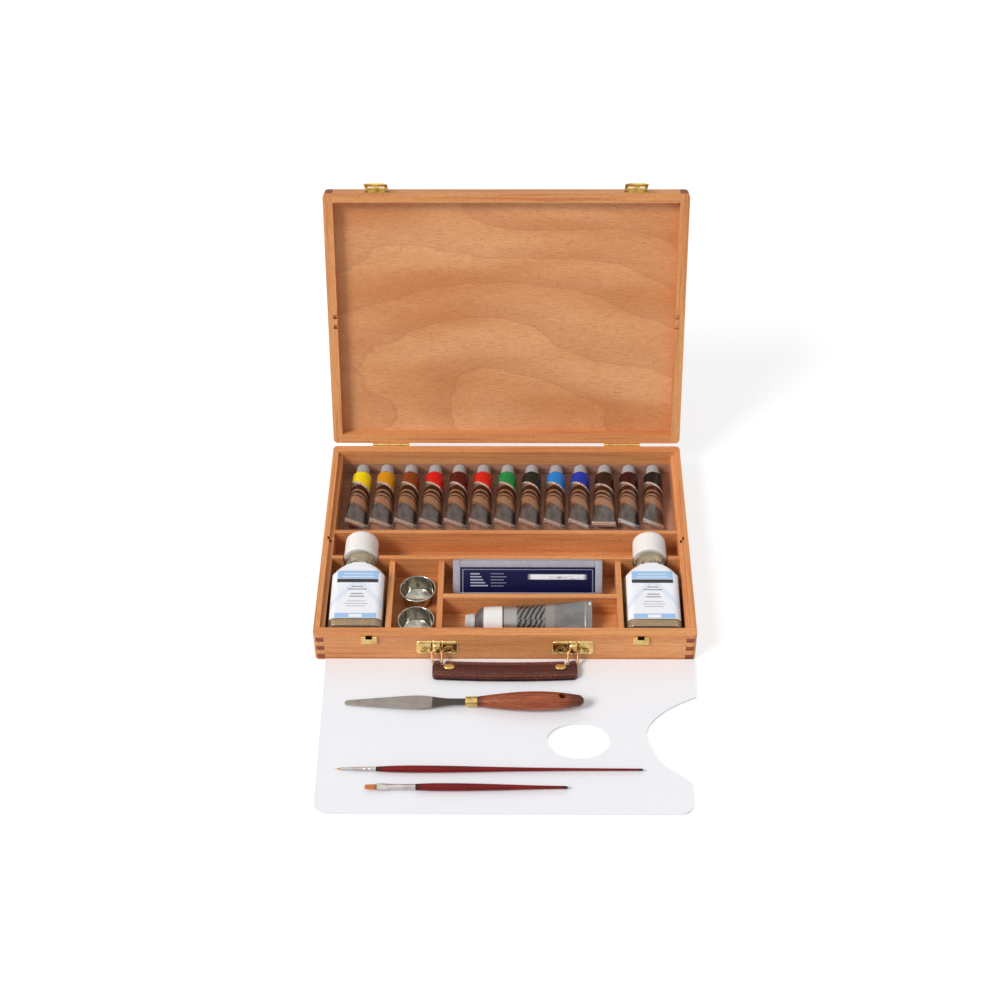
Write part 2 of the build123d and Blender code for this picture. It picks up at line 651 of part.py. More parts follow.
# Thirteen small tubes: each has its metal tube and its screw cap as two solids.
tube_z = tray_top + seat_clearance + tube_radius
droop = radians(tube_droop)
tail_dir = Vector(-sin(slant) * cos(droop), -cos(slant) * cos(droop), -sin(droop))
tube_side = Vector(cos(slant), -sin(slant), 0)
for number, x in enumerate(tube_xs, start=1):
    tube_plane = Plane(origin=(x, tube_shoulder_y, tube_z), x_dir=tube_side, z_dir=tail_dir)
    rolled = Plane(tube_plane.location * Rot(0, 0, 0 if number == flat_tube else tube_roll))
    with BuildPart() as paint_tube:
        for reach, wide, thick in ((0.0, tube_radius, tube_radius), (0.42, 11.2, 9.4), (0.8, 12.4, 5.2),
                                   (1.0, tube_tail_width / 2, tube_tail_thickness / 2)):
            with BuildSketch(rolled.offset(reach * tube_body)):
                Ellipse(wide, thick)
        loft()
        with BuildSketch(rolled.offset(tube_body - 1)):
            RectangleRounded(tube_tail_width, tube_tail_thickness, 0.4 * tube_tail_thickness)
        extrude(amount=tube_crimp + 1)
        with BuildSketch(tube_plane):
            Circle(tube_radius)
        with BuildSketch(tube_plane.offset(-shoulder_height)):
            Circle(tube_neck_radius + 1.2)
        loft()
        with BuildSketch(tube_plane.offset(-shoulder_height)):
            Circle(tube_neck_radius)
        extrude(amount=-tube_neck_length)
        cap_start = shoulder_height + seat_clearance
        with BuildSketch(tube_plane.offset(-cap_start)):
            Circle(tube_cap_radius)
        with BuildSketch(tube_plane.offset(-cap_start - tube_cap_length)):
            Circle(0.86 * tube_cap_radius)
        loft(mode=Mode.ADD)
        with BuildSketch(tube_plane.offset(-cap_start)):
            Circle(tube_neck_radius + thread_clearance)
            Circle(tube_neck_radius, mode=Mode.SUBTRACT)
        extrude(amount=-(tube_neck_length - seat_clearance + thread_clearance), mode=Mode.SUBTRACT)
        with BuildSketch(tube_plane.offset(-shoulder_height - tube_neck_length)):
            Circle(tube_neck_radius + thread_clearance)
        extrude(amount=-thread_clearance, mode=Mode.SUBTRACT)
    save(paint_tube, f"paint_tube_{number:02d}")

# Large paint tube with its cap, lying on its rolled side.
large_tube_x = mid_left + large_tube_gap + large_cap_length + seat_clearance + large_shoulder_height
large_tube_y = (mid_divider_y - cross_divider_thickness / 2 - inner_half_depth) / 2 + large_tube_shift
large_z = floor_thickness + seat_clearance + large_tube_radius
large_plane = Plane(origin=(large_tube_x, large_tube_y, large_z), x_dir=(0, -1, 0), z_dir=(1, 0, 0))
large_rolled = Plane(large_plane.location * Rot(0, 0, large_tube_roll))
with BuildPart() as large_tube:
    for reach, wide, thick in ((0.0, large_tube_radius, large_tube_radius), (0.45, 16.6, 12.6),
                               (0.82, 20.0, 6.0), (1.0, large_tail_width / 2, large_tail_thickness / 2)):
        with BuildSketch(large_rolled.offset(reach * large_tube_body)):
            Ellipse(wide, thick)
    loft()
    with BuildSketch(large_rolled.offset(large_tube_body - 1)):
        RectangleRounded(large_tail_width, large_tail_thickness, 0.4 * large_tail_thickness)
    extrude(amount=large_tube_crimp + 1)
    with BuildSketch(large_plane):
        Circle(large_tube_radius)
    with BuildSketch(large_plane.offset(-large_shoulder_height)):
        Circle(large_neck_radius + 1.2)
    loft()
    with BuildSketch(large_plane.offset(-large_shoulder_height)):
        Circle(large_neck_radius)
    extrude(amount=-tube_neck_length)
    large_cap_start = large_shoulder_height + seat_clearance
    with BuildSketch(large_plane.offset(-large_cap_start)):
        Circle(large_cap_radius)
    with BuildSketch(large_plane.offset(-large_cap_start - large_cap_length)):
        Circle(0.9 * large_cap_radius)
    loft(mode=Mode.ADD)
    with BuildSketch(large_plane.offset(-large_cap_start)):
        Circle(large_neck_radius + thread_clearance)
        Circle(large_neck_radius, mode=Mode.SUBTRACT)
    extrude(amount=-(tube_neck_length - seat_clearance + thread_clearance), mode=Mode.SUBTRACT)
    with BuildSketch(large_plane.offset(-large_shoulder_height - tube_neck_length)):
        Circle(large_neck_radius + thread_clearance)
    extrude(amount=-thread_clearance, mode=Mode.SUBTRACT)
save(large_tube, "large_tube")

# Glass bottles of medium and their screw caps.
tilt = radians(bottle_tilt)
inner_corner = bottle_corner - bottle_glass
neck_start = bottle_body + bottle_shoulder
finish_start = neck_start + bottle_neck
bore_radius = finish_radius - bottle_glass
for name, x in (("left", bottle_left_x), ("right", bottle_right_x)):
    bottle_plane = Plane(origin=(x, bottle_frame_y, bottle_base_z), x_dir=(1, 0, 0),
                         z_dir=(0, cos(tilt), sin(tilt)))
    with BuildPart() as bottle:
        with BuildSketch(bottle_plane):
            RectangleRounded(bottle_width, bottle_thickness, bottle_corner)
        extrude(amount=bottle_body)
        chamfer(bottle.faces().sort_by(Axis.Y)[0].edges(), length=bottle_heel)
        with BuildSketch(bottle_plane.offset(bottle_body)):
            RectangleRounded(bottle_width, bottle_thickness, bottle_corner)
        with BuildSketch(bottle_plane.offset(neck_start)):
            Circle(bottle_neck_radius - 1)
        loft()
        with BuildSketch(bottle_plane.offset(neck_start - 1)):
            Circle(bottle_neck_radius - 1)
        extrude(amount=bottle_neck + 1)
        with BuildSketch(bottle_plane.offset(neck_start + 3)):
            Circle(bottle_neck_radius)
        extrude(amount=bottle_neck - 5)
        with BuildSketch(bottle_plane.offset(finish_start - 1)):
            Circle(finish_radius)
        extrude(amount=finish_length + 1)
        with BuildSketch(bottle_plane.offset(bottle_glass)):
            RectangleRounded(bottle_width - 2 * bottle_heel, bottle_thickness - 2 * bottle_heel, inner_corner)
        with BuildSketch(bottle_plane.offset(bottle_heel + bottle_glass)):
            RectangleRounded(bottle_width - 2 * bottle_glass, bottle_thickness - 2 * bottle_glass, inner_corner)
        loft(mode=Mode.SUBTRACT)
        with BuildSketch(bottle_plane.offset(bottle_heel + bottle_glass)):
            RectangleRounded(bottle_width - 2 * bottle_glass, bottle_thickness - 2 * bottle_glass, inner_corner)
        extrude(amount=bottle_body - bottle_heel - bottle_glass, mode=Mode.SUBTRACT)
        with BuildSketch(bottle_plane.offset(bottle_body)):
            RectangleRounded(bottle_width - 2 * bottle_glass, bottle_thickness - 2 * bottle_glass, inner_corner)
        with BuildSketch(bottle_plane.offset(neck_start)):
            Circle(bore_radius)
        loft(mode=Mode.SUBTRACT)
        with BuildSketch(bottle_plane.offset(neck_start)):
            Circle(bore_radius)
        extrude(amount=bottle_neck + finish_length, mode=Mode.SUBTRACT)
    save(bottle, f"bottle_{name}")

    with BuildPart() as bottle_cap:
        with BuildSketch(bottle_plane.offset(finish_start + seat_clearance)):
            Circle(bottle_cap_radius)
        extrude(amount=bottle_cap_length)
        fillet(bottle_cap.faces().sort_by(Axis.Y)[-1].edges(), radius=bottle_cap_wall / 2)
        with BuildSketch(bottle_plane.offset(finish_start + seat_clearance)):
            Circle(finish_radius + seat_clearance)
        extrude(amount=finish_length, mode=Mode.SUBTRACT)
    save(bottle_cap, f"bottle_cap_{name}")

# Dipper cups: thin spun metal with a rolled rim.
cup_x = cross_divider_x[0] + cross_divider_thickness / 2 + cup_left_gap + cup_radius
cup_back_y = brush_front_y - cup_back_gap - cup_radius
cup_front_y = cup_back_y - 2 * cup_radius - cup_middle_gap
for name, y in (("cup_back", cup_back_y), ("cup_front", cup_front_y)):
    cup_bottom = floor_thickness + seat_clearance
    with BuildPart() as cup:
        with BuildSketch(Plane.XZ):
            with BuildLine():
                Polyline((0, cup_bottom), (cup_base_radius, cup_bottom),
                         (cup_radius - cup_bead, cup_bottom + cup_height - cup_bead),
                         (cup_radius - cup_bead - cup_sheet, cup_bottom + cup_height - cup_bead),
                         (cup_base_radius - cup_sheet, cup_bottom + cup_sheet),
                         (0, cup_bottom + cup_sheet), close=True)
            make_face()
            with Locations((cup_radius - cup_bead, cup_bottom + cup_height - cup_bead)):
                Circle(cup_bead)
        revolve(axis=Axis.Z)
    cup.part = Pos(cup_x, y, 0) * cup.part
    save(cup, name)

# Charcoal case, leaning back on the brush divider with its lower back edge on the floor.
lean = radians(case_lean)
case_x = mid_left + case_left_gap + case_length / 2
case_foot_y = brush_front_y - case_back_gap - case_run
case_plane = Plane(origin=(case_x, case_foot_y, floor_thickness + seat_clearance), x_dir=(1, 0, 0),
                   z_dir=(0, cos(lean), sin(lean)))
case_pose = case_plane.location
with BuildPart() as charcoal_case:
    with Locations(case_pose * Pos(0, -case_thickness / 2, case_height / 2)):
        Box(case_length, case_thickness, case_height)
    fillet(charcoal_case.edges(), radius=case_edge)
    with Locations(case_pose * Pos(0, case_label_depth / 2 - case_thickness, (case_height - case_frame_top) / 2)):
        Box(case_length - 2 * case_frame, case_label_depth, case_height - case_frame_top - 3, mode=Mode.SUBTRACT)
save(charcoal_case, "charcoal_case")

# Palette with a thumb hole and a curved bay in its right edge.
bay_curve = [(palette_right_x + x, palette_back_y + y) for x, y in bay_points]
palette_front_y = palette_back_y - palette_depth
palette_front_right = (palette_right_x + palette_right_front, palette_front_y)
palette_front_left = (palette_left_x + palette_left_slope, palette_front_y)
with BuildPart() as palette:
    with BuildSketch():
        with BuildLine():
            Line((palette_left_x, palette_back_y), (palette_right_x, palette_back_y))
            Line((palette_right_x, palette_back_y), bay_curve[0])
            Spline(*bay_curve)
            Line(bay_curve[-1], palette_front_right)
            Line(palette_front_right, palette_front_left)
            Line(palette_front_left, (palette_left_x, palette_back_y))
        make_face()
        with Locations((palette_right_x - thumb_hole_from_right, palette_back_y - thumb_hole_from_back)):
            Ellipse(thumb_hole_long, thumb_hole_short, mode=Mode.SUBTRACT)
    extrude(amount=palette_thickness)
    fillet(palette.edges().filter_by(Axis.Z).group_by(Axis.Y)[0], radius=palette_corner)
save(palette, "palette")

# Palette knife: steel blade with its tang, brass ferrule and turned wooden handle.
knife_pose = (Pos(palette_left_x + knife_from_left, palette_back_y - knife_from_back,
                  palette_top + knife_tip_lift)
              * Rot(0, 0, knife_turn) * Rot(0, -knife_rise, 0))
blade_end = blade_length + blade_neck_length
with BuildPart() as knife_blade:
    with BuildSketch(Plane(knife_pose * Pos(0, 0, -blade_thickness / 2))):
        with BuildLine():
            Spline((0, 0), (6, 3.6), (40, 6.6), (blade_length - 6, blade_half_width),
                   (blade_length + 2, blade_half_width - 1.6), (blade_length + 7, blade_neck_half_width))
            Polyline((blade_length + 7, blade_neck_half_width), (blade_end, blade_neck_half_width - 1),
                     (blade_end, 2.4), (blade_end + ferrule_length, 2.4), (blade_end + ferrule_length, 0))
            mirror(about=Plane.XZ)
        make_face()
    extrude(amount=blade_thickness)
save(knife_blade, "knife_blade")

with BuildPart() as knife_ferrule:
    with Locations(knife_pose * Pos(blade_end + ferrule_length / 2, 0, 0) * Rot(0, 90, 0)):
        Cylinder(ferrule_radius, ferrule_length)
    with Locations(knife_pose * Pos(blade_end + ferrule_length / 2, 0, 0)):
        Box(ferrule_length + 1, 5.0, blade_thickness + 0.2, mode=Mode.SUBTRACT)
save(knife_ferrule, "knife_ferrule")

handle_start = blade_end + ferrule_length
with BuildPart() as knife_handle:
    with BuildSketch(Plane(knife_pose)):
        with BuildLine():
            Spline((handle_start, ferrule_radius), (handle_start + 20, 7.6), (handle_start + 60, knife_handle_radius),
                   (handle_start + 88, 8.2), (handle_start + knife_handle_length - 3, knife_handle_end_radius))
            Polyline((handle_start + knife_handle_length - 3, knife_handle_end_radius),
                     (handle_start + knife_handle_length, knife_handle_end_radius - 3),
                     (handle_start + knife_handle_length, 0), (handle_start, 0), (handle_start, ferrule_radius))
        make_face()
    knife_axis = Axis((knife_pose * Pos(handle_start, 0, 0)).position,
                      (knife_pose * Pos(handle_start + 1, 0, 0)).position
                      - (knife_pose * Pos(handle_start, 0, 0)).position)
    revolve(axis=knife_axis)
    with Locations(knife_pose * Pos(handle_start + knife_handle_length - knife_hole_from_end, 0, 0)):
        Cylinder(knife_hole_radius, 3 * knife_handle_radius, mode=Mode.SUBTRACT)
save(knife_handle, "knife_handle")

# Long round brush. The hair is a bundle of strands that get shorter away from the middle.
long_brush_x = palette_left_x + long_brush_from_left
long_brush_y = palette_back_y - long_brush_from_back
long_axis_z = palette_top + seat_clearance + long_brush_radius
long_plane = Plane(origin=(long_brush_x, long_brush_y, long_axis_z), x_dir=(0, -1, 0), z_dir=(1, 0, 0))
long_root = long_hair + hair_backing
with BuildPart() as long_brush_hair:
    with BuildSketch(long_plane.offset(long_hair)):
        Circle(5.4 * hair_strand * 1.35)
    extrude(amount=hair_backing)
    for ring in range(5):
        with BuildSketch(long_plane.offset(long_root - hair_backing / 2)):
            if ring == 0:
                Rectangle(hair_strand, hair_strand)
            else:
                with PolarLocations(ring * hair_strand * 1.45, 6 * ring):
                    Rectangle(hair_strand, hair_strand)
        extrude(amount=-(long_hair + hair_backing / 2 - ring * ring * 0.18))
save(long_brush_hair, "long_brush_hair")

with BuildPart() as long_brush_ferrule:
    with BuildSketch(Plane.XY):
        with BuildLine():
            Polyline((long_hair - 0.4, 1.35), (long_hair + 16, long_ferrule_radius - 0.2),
                     (long_hair + 22, long_ferrule_radius), (long_hair + 23, long_ferrule_radius - 0.35),
                     (long_hair + 24, long_ferrule_radius), (long_hair + 27, long_ferrule_radius),
                     (long_hair + 28, long_ferrule_radius - 0.35), (long_hair + 29, long_ferrule_radius),
                     (long_hair + long_ferrule, long_ferrule_radius), (long_hair + long_ferrule, 0),
                     (long_root + 0.1, 0), (long_root + 0.1, 1.25), (long_hair - 0.4, 1.25), close=True)
        make_face()
    revolve(axis=Axis.X)
long_brush_ferrule.part = Pos(long_brush_x, long_brush_y, long_axis_z) * long_brush_ferrule.part
save(long_brush_ferrule, "long_brush_ferrule")

long_handle_start = long_hair + long_ferrule
long_handle_end = long_handle_start + long_handle
with BuildPart() as long_brush_handle:
    with BuildSketch(Plane.XY):
        with BuildLine():
            Spline((long_handle_start, long_ferrule_radius + 0.1), (long_handle_start + 36, long_brush_radius),
                   (long_handle_start + 110, 2.6), (long_handle_end - 2, 1.2),
                   tangents=((1, 0.08), (1, -0.004)))
            Polyline((long_handle_end - 2, 1.2), (long_handle_end, 0.6), (long_handle_end, 0),
                     (long_handle_start, 0), (long_handle_start, long_ferrule_radius + 0.1))
        make_face()
    revolve(axis=Axis.X)
long_brush_handle.part = Pos(long_brush_x, long_brush_y, long_axis_z) * long_brush_handle.part
save(long_brush_handle, "long_brush_handle")

# Short flat brush.
short_brush_x = palette_left_x + short_brush_from_left
short_brush_y = palette_back_y - short_brush_from_back
short_axis_z = palette_top + seat_clearance + short_brush_radius
short_plane = Plane(origin=(short_brush_x, short_brush_y, short_axis_z), x_dir=(0, -1, 0), z_dir=(1, 0, 0))
strands_across = 30
strand_rows = 8
with BuildPart() as short_brush_hair:
    with BuildSketch(short_plane.offset(short_hair)):
        Rectangle(flat_hair_width + hair_strand, flat_hair_thickness + hair_strand)
    extrude(amount=hair_backing)
    with BuildSketch(short_plane.offset(short_hair + hair_backing / 2)):
        with GridLocations(flat_hair_width / (strands_across - 1), flat_hair_thickness / (strand_rows - 1),
                           strands_across, strand_rows):
            Rectangle(hair_strand, hair_strand)
    extrude(amount=-(short_hair + hair_backing / 2))
save(short_brush_hair, "short_brush_hair")

ferrule_mouth = (flat_hair_width + 1.4, flat_hair_thickness + 1.4)
with BuildPart() as short_brush_ferrule:
    with BuildSketch(short_plane.offset(short_hair - 0.4)):
        RectangleRounded(*ferrule_mouth, 1.0)
    with BuildSketch(short_plane.offset(short_hair + 18)):
        Circle(short_ferrule_radius)
    loft()
    with BuildSketch(short_plane.offset(short_hair + 18)):
        Circle(short_ferrule_radius)
    extrude(amount=short_ferrule - 18)
    with BuildSketch(short_plane.offset(short_hair - 0.5)):
        Rectangle(flat_hair_width + 0.4, flat_hair_thickness + 0.4)
    extrude(amount=hair_backing + 0.7, mode=Mode.SUBTRACT)
save(short_brush_ferrule, "short_brush_ferrule")

short_handle_start = short_hair + short_ferrule
short_handle_end = short_handle_start + short_handle
with BuildPart() as short_brush_handle:
    with BuildSketch(Plane.XY):
        with BuildLine():
            Spline((short_handle_start, short_ferrule_radius + 0.1), (short_handle_start + 30, short_brush_radius),
                   (short_handle_start + 90, 2.8), (short_handle_end - 2, 1.5),
                   tangents=((1, 0.08), (1, -0.01)))
            Polyline((short_handle_end - 2, 1.5), (short_handle_end, 0.8), (short_handle_end, 0),
                     (short_handle_start, 0), (short_handle_start, short_ferrule_radius + 0.1))
        make_face()
    revolve(axis=Axis.X)
short_brush_handle.part = Pos(short_brush_x, short_brush_y, short_axis_z) * short_brush_handle.part
save(short_brush_handle, "short_brush_handle")
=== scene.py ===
from math import cos, pi, radians, sin

import bpy
from mathutils import Matrix, Vector, noise as chance


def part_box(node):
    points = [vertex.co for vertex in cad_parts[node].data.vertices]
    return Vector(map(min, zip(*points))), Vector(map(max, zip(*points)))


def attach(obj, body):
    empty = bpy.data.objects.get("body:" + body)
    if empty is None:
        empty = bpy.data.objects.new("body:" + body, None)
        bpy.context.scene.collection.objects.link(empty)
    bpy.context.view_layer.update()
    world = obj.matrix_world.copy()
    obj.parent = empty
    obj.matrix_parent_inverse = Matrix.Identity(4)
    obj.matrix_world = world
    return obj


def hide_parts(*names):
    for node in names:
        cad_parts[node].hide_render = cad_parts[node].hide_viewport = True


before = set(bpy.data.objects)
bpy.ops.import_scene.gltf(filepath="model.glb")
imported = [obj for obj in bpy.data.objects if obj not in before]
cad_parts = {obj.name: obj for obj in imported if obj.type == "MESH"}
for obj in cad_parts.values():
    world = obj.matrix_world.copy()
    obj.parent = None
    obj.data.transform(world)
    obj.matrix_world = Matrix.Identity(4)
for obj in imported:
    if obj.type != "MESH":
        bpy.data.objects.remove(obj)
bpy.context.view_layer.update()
mm = 0.001

# View, floor and light. The painter's table is a plain white floor; a broad soft lamp stands up
# and to the left in front of the box, and the white room fills the shadows.
camera_at = (0.012900, -1.456843, 1.441416)
camera_pitch, camera_yaw, camera_roll = radians(42.68889), radians(-0.70853), radians(-0.38302)
camera_lens, film_width, camera_shift, camera_reach = 66.3185, 36, (-0.00077, -0.00437), (0.05, 50)
lamp_from, lamp_strength, lamp_spread = (-0.62, -0.42, 0.72), 2.15, radians(22)
lamp_warmth = (1.0, 0.98, 0.95)
pure_white, room_horizon, room_top = (1, 1, 1, 1), (0.24, 0.22, 0.20, 1), (1.05, 1.05, 1.05, 1)
room_strength, horizon_low, horizon_high = 0.50, -0.05, 0.75
floor_reach, floor_drop = 6, 0.0002
floor_glow, floor_shade, floor_bounce = 0.74, (0.36, 0.36, 0.36, 1), (0.8, 0.8, 0.8, 1)


def rgb(red, green, blue):
    # a screen colour from 0 to 255 as the linear colour that a shader takes
    return tuple((c / 255 / 12.92 if c < 10.3 else ((c / 255 + 0.055) / 1.055) ** 2.4)
                 for c in (red, green, blue)) + (1.0,)


def plug(tree, made, inputs, values):
    # small names are the node's own settings, capital names and plain inputs are its sockets
    sockets = [(made.inputs[name.replace("_", " ")], value)
               for name, value in values.items() if name[0].isupper()]
    for socket, value in sockets + [s for s in zip(made.inputs, inputs) if s[1] is not None]:
        if isinstance(value, bpy.types.NodeSocket):
            tree.links.new(value, socket)
        else:
            socket.default_value = value
    return made


def node(tree, kind, *inputs, **values):
    made = tree.nodes.new("ShaderNode" + kind)
    for name, value in values.items():
        if name[0].islower():
            setattr(made, name, value)
    return plug(tree, made, inputs, values)


forward = Vector((sin(camera_yaw) * cos(camera_pitch), cos(camera_yaw) * cos(camera_pitch),
                  -sin(camera_pitch)))
level = Vector((cos(camera_yaw), -sin(camera_yaw), 0))
upward = level.cross(forward)
across = level * cos(camera_roll) + upward * sin(camera_roll)
upward = upward * cos(camera_roll) - level * sin(camera_roll)
camera = bpy.data.objects.new("camera", bpy.data.cameras.new("camera"))
camera.matrix_world = (Matrix.Translation(camera_at)
                       @ Matrix((across, upward, -forward)).transposed().to_4x4())
camera.data.sensor_width, camera.data.lens = film_width, camera_lens
camera.data.shift_x, camera.data.shift_y = camera_shift
camera.data.clip_start, camera.data.clip_end = camera_reach
bpy.context.scene.collection.objects.link(camera)
bpy.context.scene.camera = camera

lamp = bpy.data.objects.new("lamp", bpy.data.lights.new("lamp", "SUN"))
lamp.data.energy, lamp.data.angle, lamp.data.color = lamp_strength, lamp_spread, lamp_warmth
lamp.rotation_euler = Vector(lamp_from).to_track_quat("Z", "Y").to_euler()
bpy.context.scene.collection.objects.link(lamp)

room = bpy.data.worlds.new("room")
room.use_nodes = True
bpy.context.scene.world = room
tree = room.node_tree
tree.nodes.clear()
ray = node(tree, "LightPath").outputs
height = node(tree, "SeparateXYZ", node(tree, "TexCoord").outputs["Generated"]).outputs["Z"]
climb = node(tree, "MapRange", height, horizon_low, horizon_high, 0.0, 1.0).outputs[0]
sheen = node(tree, "Mix", data_type="RGBA", Factor=climb)
sheen.inputs[6].default_value, sheen.inputs[7].default_value = room_horizon, room_top
glow = node(tree, "Background", sheen.outputs[2], 1.0).outputs[0]
fill = node(tree, "Background", pure_white, room_strength).outputs[0]
white = node(tree, "Background", pure_white, 1.0).outputs[0]
seen = node(tree, "MixShader", ray["Is Glossy Ray"], fill, glow).outputs[0]
through = node(tree, "Math", ray["Is Camera Ray"], ray["Is Transmission Ray"],
               operation="MAXIMUM").outputs[0]
node(tree, "OutputWorld", node(tree, "MixShader", through, seen, white).outputs[0])

floor_mesh = bpy.data.meshes.new("floor")
floor_mesh.from_pydata([(x * floor_reach, y * floor_reach, -floor_drop) for x,
                        y in ((-1, -1), (1, -1), (1, 1), (-1, 1))], [], [(0, 1, 2, 3)])
floor = bpy.data.objects.new("floor", floor_mesh)
bpy.context.scene.collection.objects.link(floor)
paper_floor = bpy.data.materials.new("paper_floor")
paper_floor.use_nodes = True
tree = paper_floor.node_tree
tree.nodes.clear()
ray = node(tree, "LightPath").outputs
shade = node(tree, "BsdfDiffuse", floor_shade).outputs[0]
shine = node(tree, "Emission", pure_white, floor_glow).outputs[0]
lit = node(tree, "AddShader", shade, shine).outputs[0]
plain = node(tree, "BsdfDiffuse", floor_bounce).outputs[0]
direct = node(tree, "Math", ray["Is Camera Ray"], ray["Is Glossy Ray"],
              operation="MAXIMUM").outputs[0]
direct = node(tree, "Math", direct, ray["Is Transmission Ray"], operation="MAXIMUM").outputs[0]
node(tree, "OutputMaterial", node(tree, "MixShader", direct, plain, lit).outputs[0])
floor.data.materials.append(paper_floor)
bpy.context.scene.view_settings.view_transform = "Standard"

# Base boards: four planed and oiled beech walls, joined at the corners with three glued fingers
# each. The ends of the side walls' fingers show as darker end grain on the front wall.
# Each board has its grain's axis (0 along x, 1 along y), its own number for the figure, and a tone.
base_boards = {"base_front": (0, 3, 1.0), "base_back": (0, 11, 0.97), "base_left": (1, 5, 0.98),
               "base_right": (1, 8, 1.0)}
beech_light, beech_mid, beech_dark = rgb(232, 166, 108), rgb(210, 134, 80), rgb(166, 86, 42)
beech_fleck, beech_end = rgb(140, 70, 34), rgb(118, 58, 34)


def join(made, **values):
    # joins colours, reliefs or plain values to a material's shader
    plug(made.node_tree, made.node_tree.nodes["Principled BSDF"], (), values)
    return made


def finish(name, **values):
    # a new material with its shader's sockets set
    made = bpy.data.materials.new(name)
    made.use_nodes = True
    return join(made, **values)


def where(tree, turned=0.0):
    # the place on the piece in metres, turned about the x axis into a leaning board's own frame
    spot = node(tree, "TexCoord").outputs["Object"]
    if turned:
        spot = node(tree, "VectorRotate", spot, rotation_type="X_AXIS", Angle=turned).outputs[0]
    return spot


def cloudy(tree, spot, stretch, seed=0.0, detail=2.0, rough=0.55):
    # noise with its own number of blotches per metre along each axis
    moved = node(tree, "Mapping", spot, Location=(seed * 1.7, seed * 2.3, seed * 3.1),
                 Scale=stretch).outputs[0]
    return node(tree, "TexNoise", Vector=moved, Scale=1.0, Detail=detail,
                Roughness=rough).outputs[0]


def sums(tree, kind, first, second=0.5, third=0.5):
    # one step of arithmetic on two or three values
    return node(tree, "Math", first, second, third, operation=kind).outputs[0]


def between(tree, value, low, high):
    # 0 below low, 1 above high, soft between them
    return node(tree, "MapRange", value, low, high, 0.0, 1.0,
                interpolation_type="SMOOTHSTEP").outputs[0]


def mixed(tree, share, first, second, way="MIX"):
    # the first colour at a share of 0, the second at 1
    made = node(tree, "Mix", data_type="RGBA", blend_type=way, Factor=share)
    for socket, value in ((made.inputs[6], first), (made.inputs[7], second)):
        if isinstance(value, bpy.types.NodeSocket):
            tree.links.new(value, socket)
        else:
            socket.default_value = value
    return made.outputs[2]


def tinted(tree, colour, value, low, high, share, ink):
    # the colour with an ink over it where a value climbs from low to high
    return mixed(tree, sums(tree, "MULTIPLY", between(tree, value, low, high), share), colour, ink)


def bumped(tree, height, depth, strength=1.0):
    # relief in the surface, its depth in metres
    return node(tree, "Bump", Strength=strength, Distance=depth, Height=height).outputs[0]


def beech(name, along, seed, tone=1.0, turned=0.0):
    # oiled beech whose grain runs along one axis of the board
    made = finish(name, Specular_IOR_Level=0.35)
    tree = made.node_tree
    spot = where(tree, turned)

    def stretch(run, side):
        return tuple(run if axis == along else side for axis in range(3))

    broad = cloudy(tree, spot, stretch(3, 34), seed)
    streak = cloudy(tree, spot, stretch(9, 330), seed + 1, 3)
    fibre = cloudy(tree, spot, stretch(70, 1300), seed + 2, 3, 0.75)
    fleck = cloudy(tree, spot, stretch(240, 1500), seed + 3, 1)
    rich = sums(tree, "MULTIPLY_ADD", broad, 0.75, sums(tree, "MULTIPLY_ADD", streak, 0.55, -0.15))
    colour = mixed(tree, between(tree, rich, 0.28, 0.78), beech_light, beech_mid)
    colour = tinted(tree, colour, streak, 0.5, 0.75, 0.35, beech_dark)
    colour = tinted(tree, colour, fibre, 0.42, 0.75, 0.36, beech_dark)
    colour = tinted(tree, colour, fleck, 0.60, 0.70, 0.40, beech_fleck)
    facing = node(tree, "TexCoord").outputs["Normal"]
    if turned:
        facing = node(tree, "VectorRotate", facing, rotation_type="X_AXIS", Angle=turned).outputs[0]
    ends = sums(tree, "ABSOLUTE", node(tree, "SeparateXYZ", facing).outputs[along])
    pores = cloudy(tree, spot, (1800, 1800, 1800), seed, 1)
    end_colour = mixed(tree, between(tree, pores, 0.4, 0.65), beech_end, beech_dark)
    colour = mixed(tree, between(tree, ends, 0.75, 0.92), colour, end_colour)
    colour = mixed(tree, 1.0, colour, (tone, tone, tone, 1), "MULTIPLY")
    relief = sums(tree, "MULTIPLY_ADD", fleck, 0.5, fibre)
    return join(made, Base_Color=colour, Normal=bumped(tree, relief, 0.00012, 0.5),
                Roughness=sums(tree, "MULTIPLY_ADD", streak, 0.18, 0.40))


def dress(name, made):
    # gives a CAD node its finish
    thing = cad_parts[name]
    for place in thing.material_slots:
        place.material = made
    if not thing.material_slots:
        thing.data.materials.append(made)


for board, (along, seed, tone) in base_boards.items():
    dress(board, beech(board, along, seed, tone))

# Dividers and floor: thin beech strips stand on a plywood floor, let into the walls and each other.
# The brush divider has a round notch under each bottle cap.
thin_boards = {"base_floor": (0, 21, 0.93), "tube_divider": (0, 23, 0.98),
               "brush_divider": (0, 27, 0.98), "mid_divider": (0, 31, 1.0),
               "cross_dividers": (1, 33, 0.98)}
for board, (along, seed, tone) in thin_boards.items():
    dress(board, beech(board, along, seed, tone))

# Lid: four beech rails round a plywood panel glued into their groove. The panel's rotary cut
# face veneer shows broad contour grain, running across, with short darker flecks.
lid_angle = radians(106.5)
lid_boards = {"lid_front_rail": (0, 41, 0.97), "lid_back_rail": (0, 43, 0.95),
              "lid_left_rail": (1, 47, 0.97), "lid_right_rail": (1, 53, 0.93)}
for board, (along, seed, tone) in lid_boards.items():
    dress(board, beech(board, along, seed, tone, lid_angle))

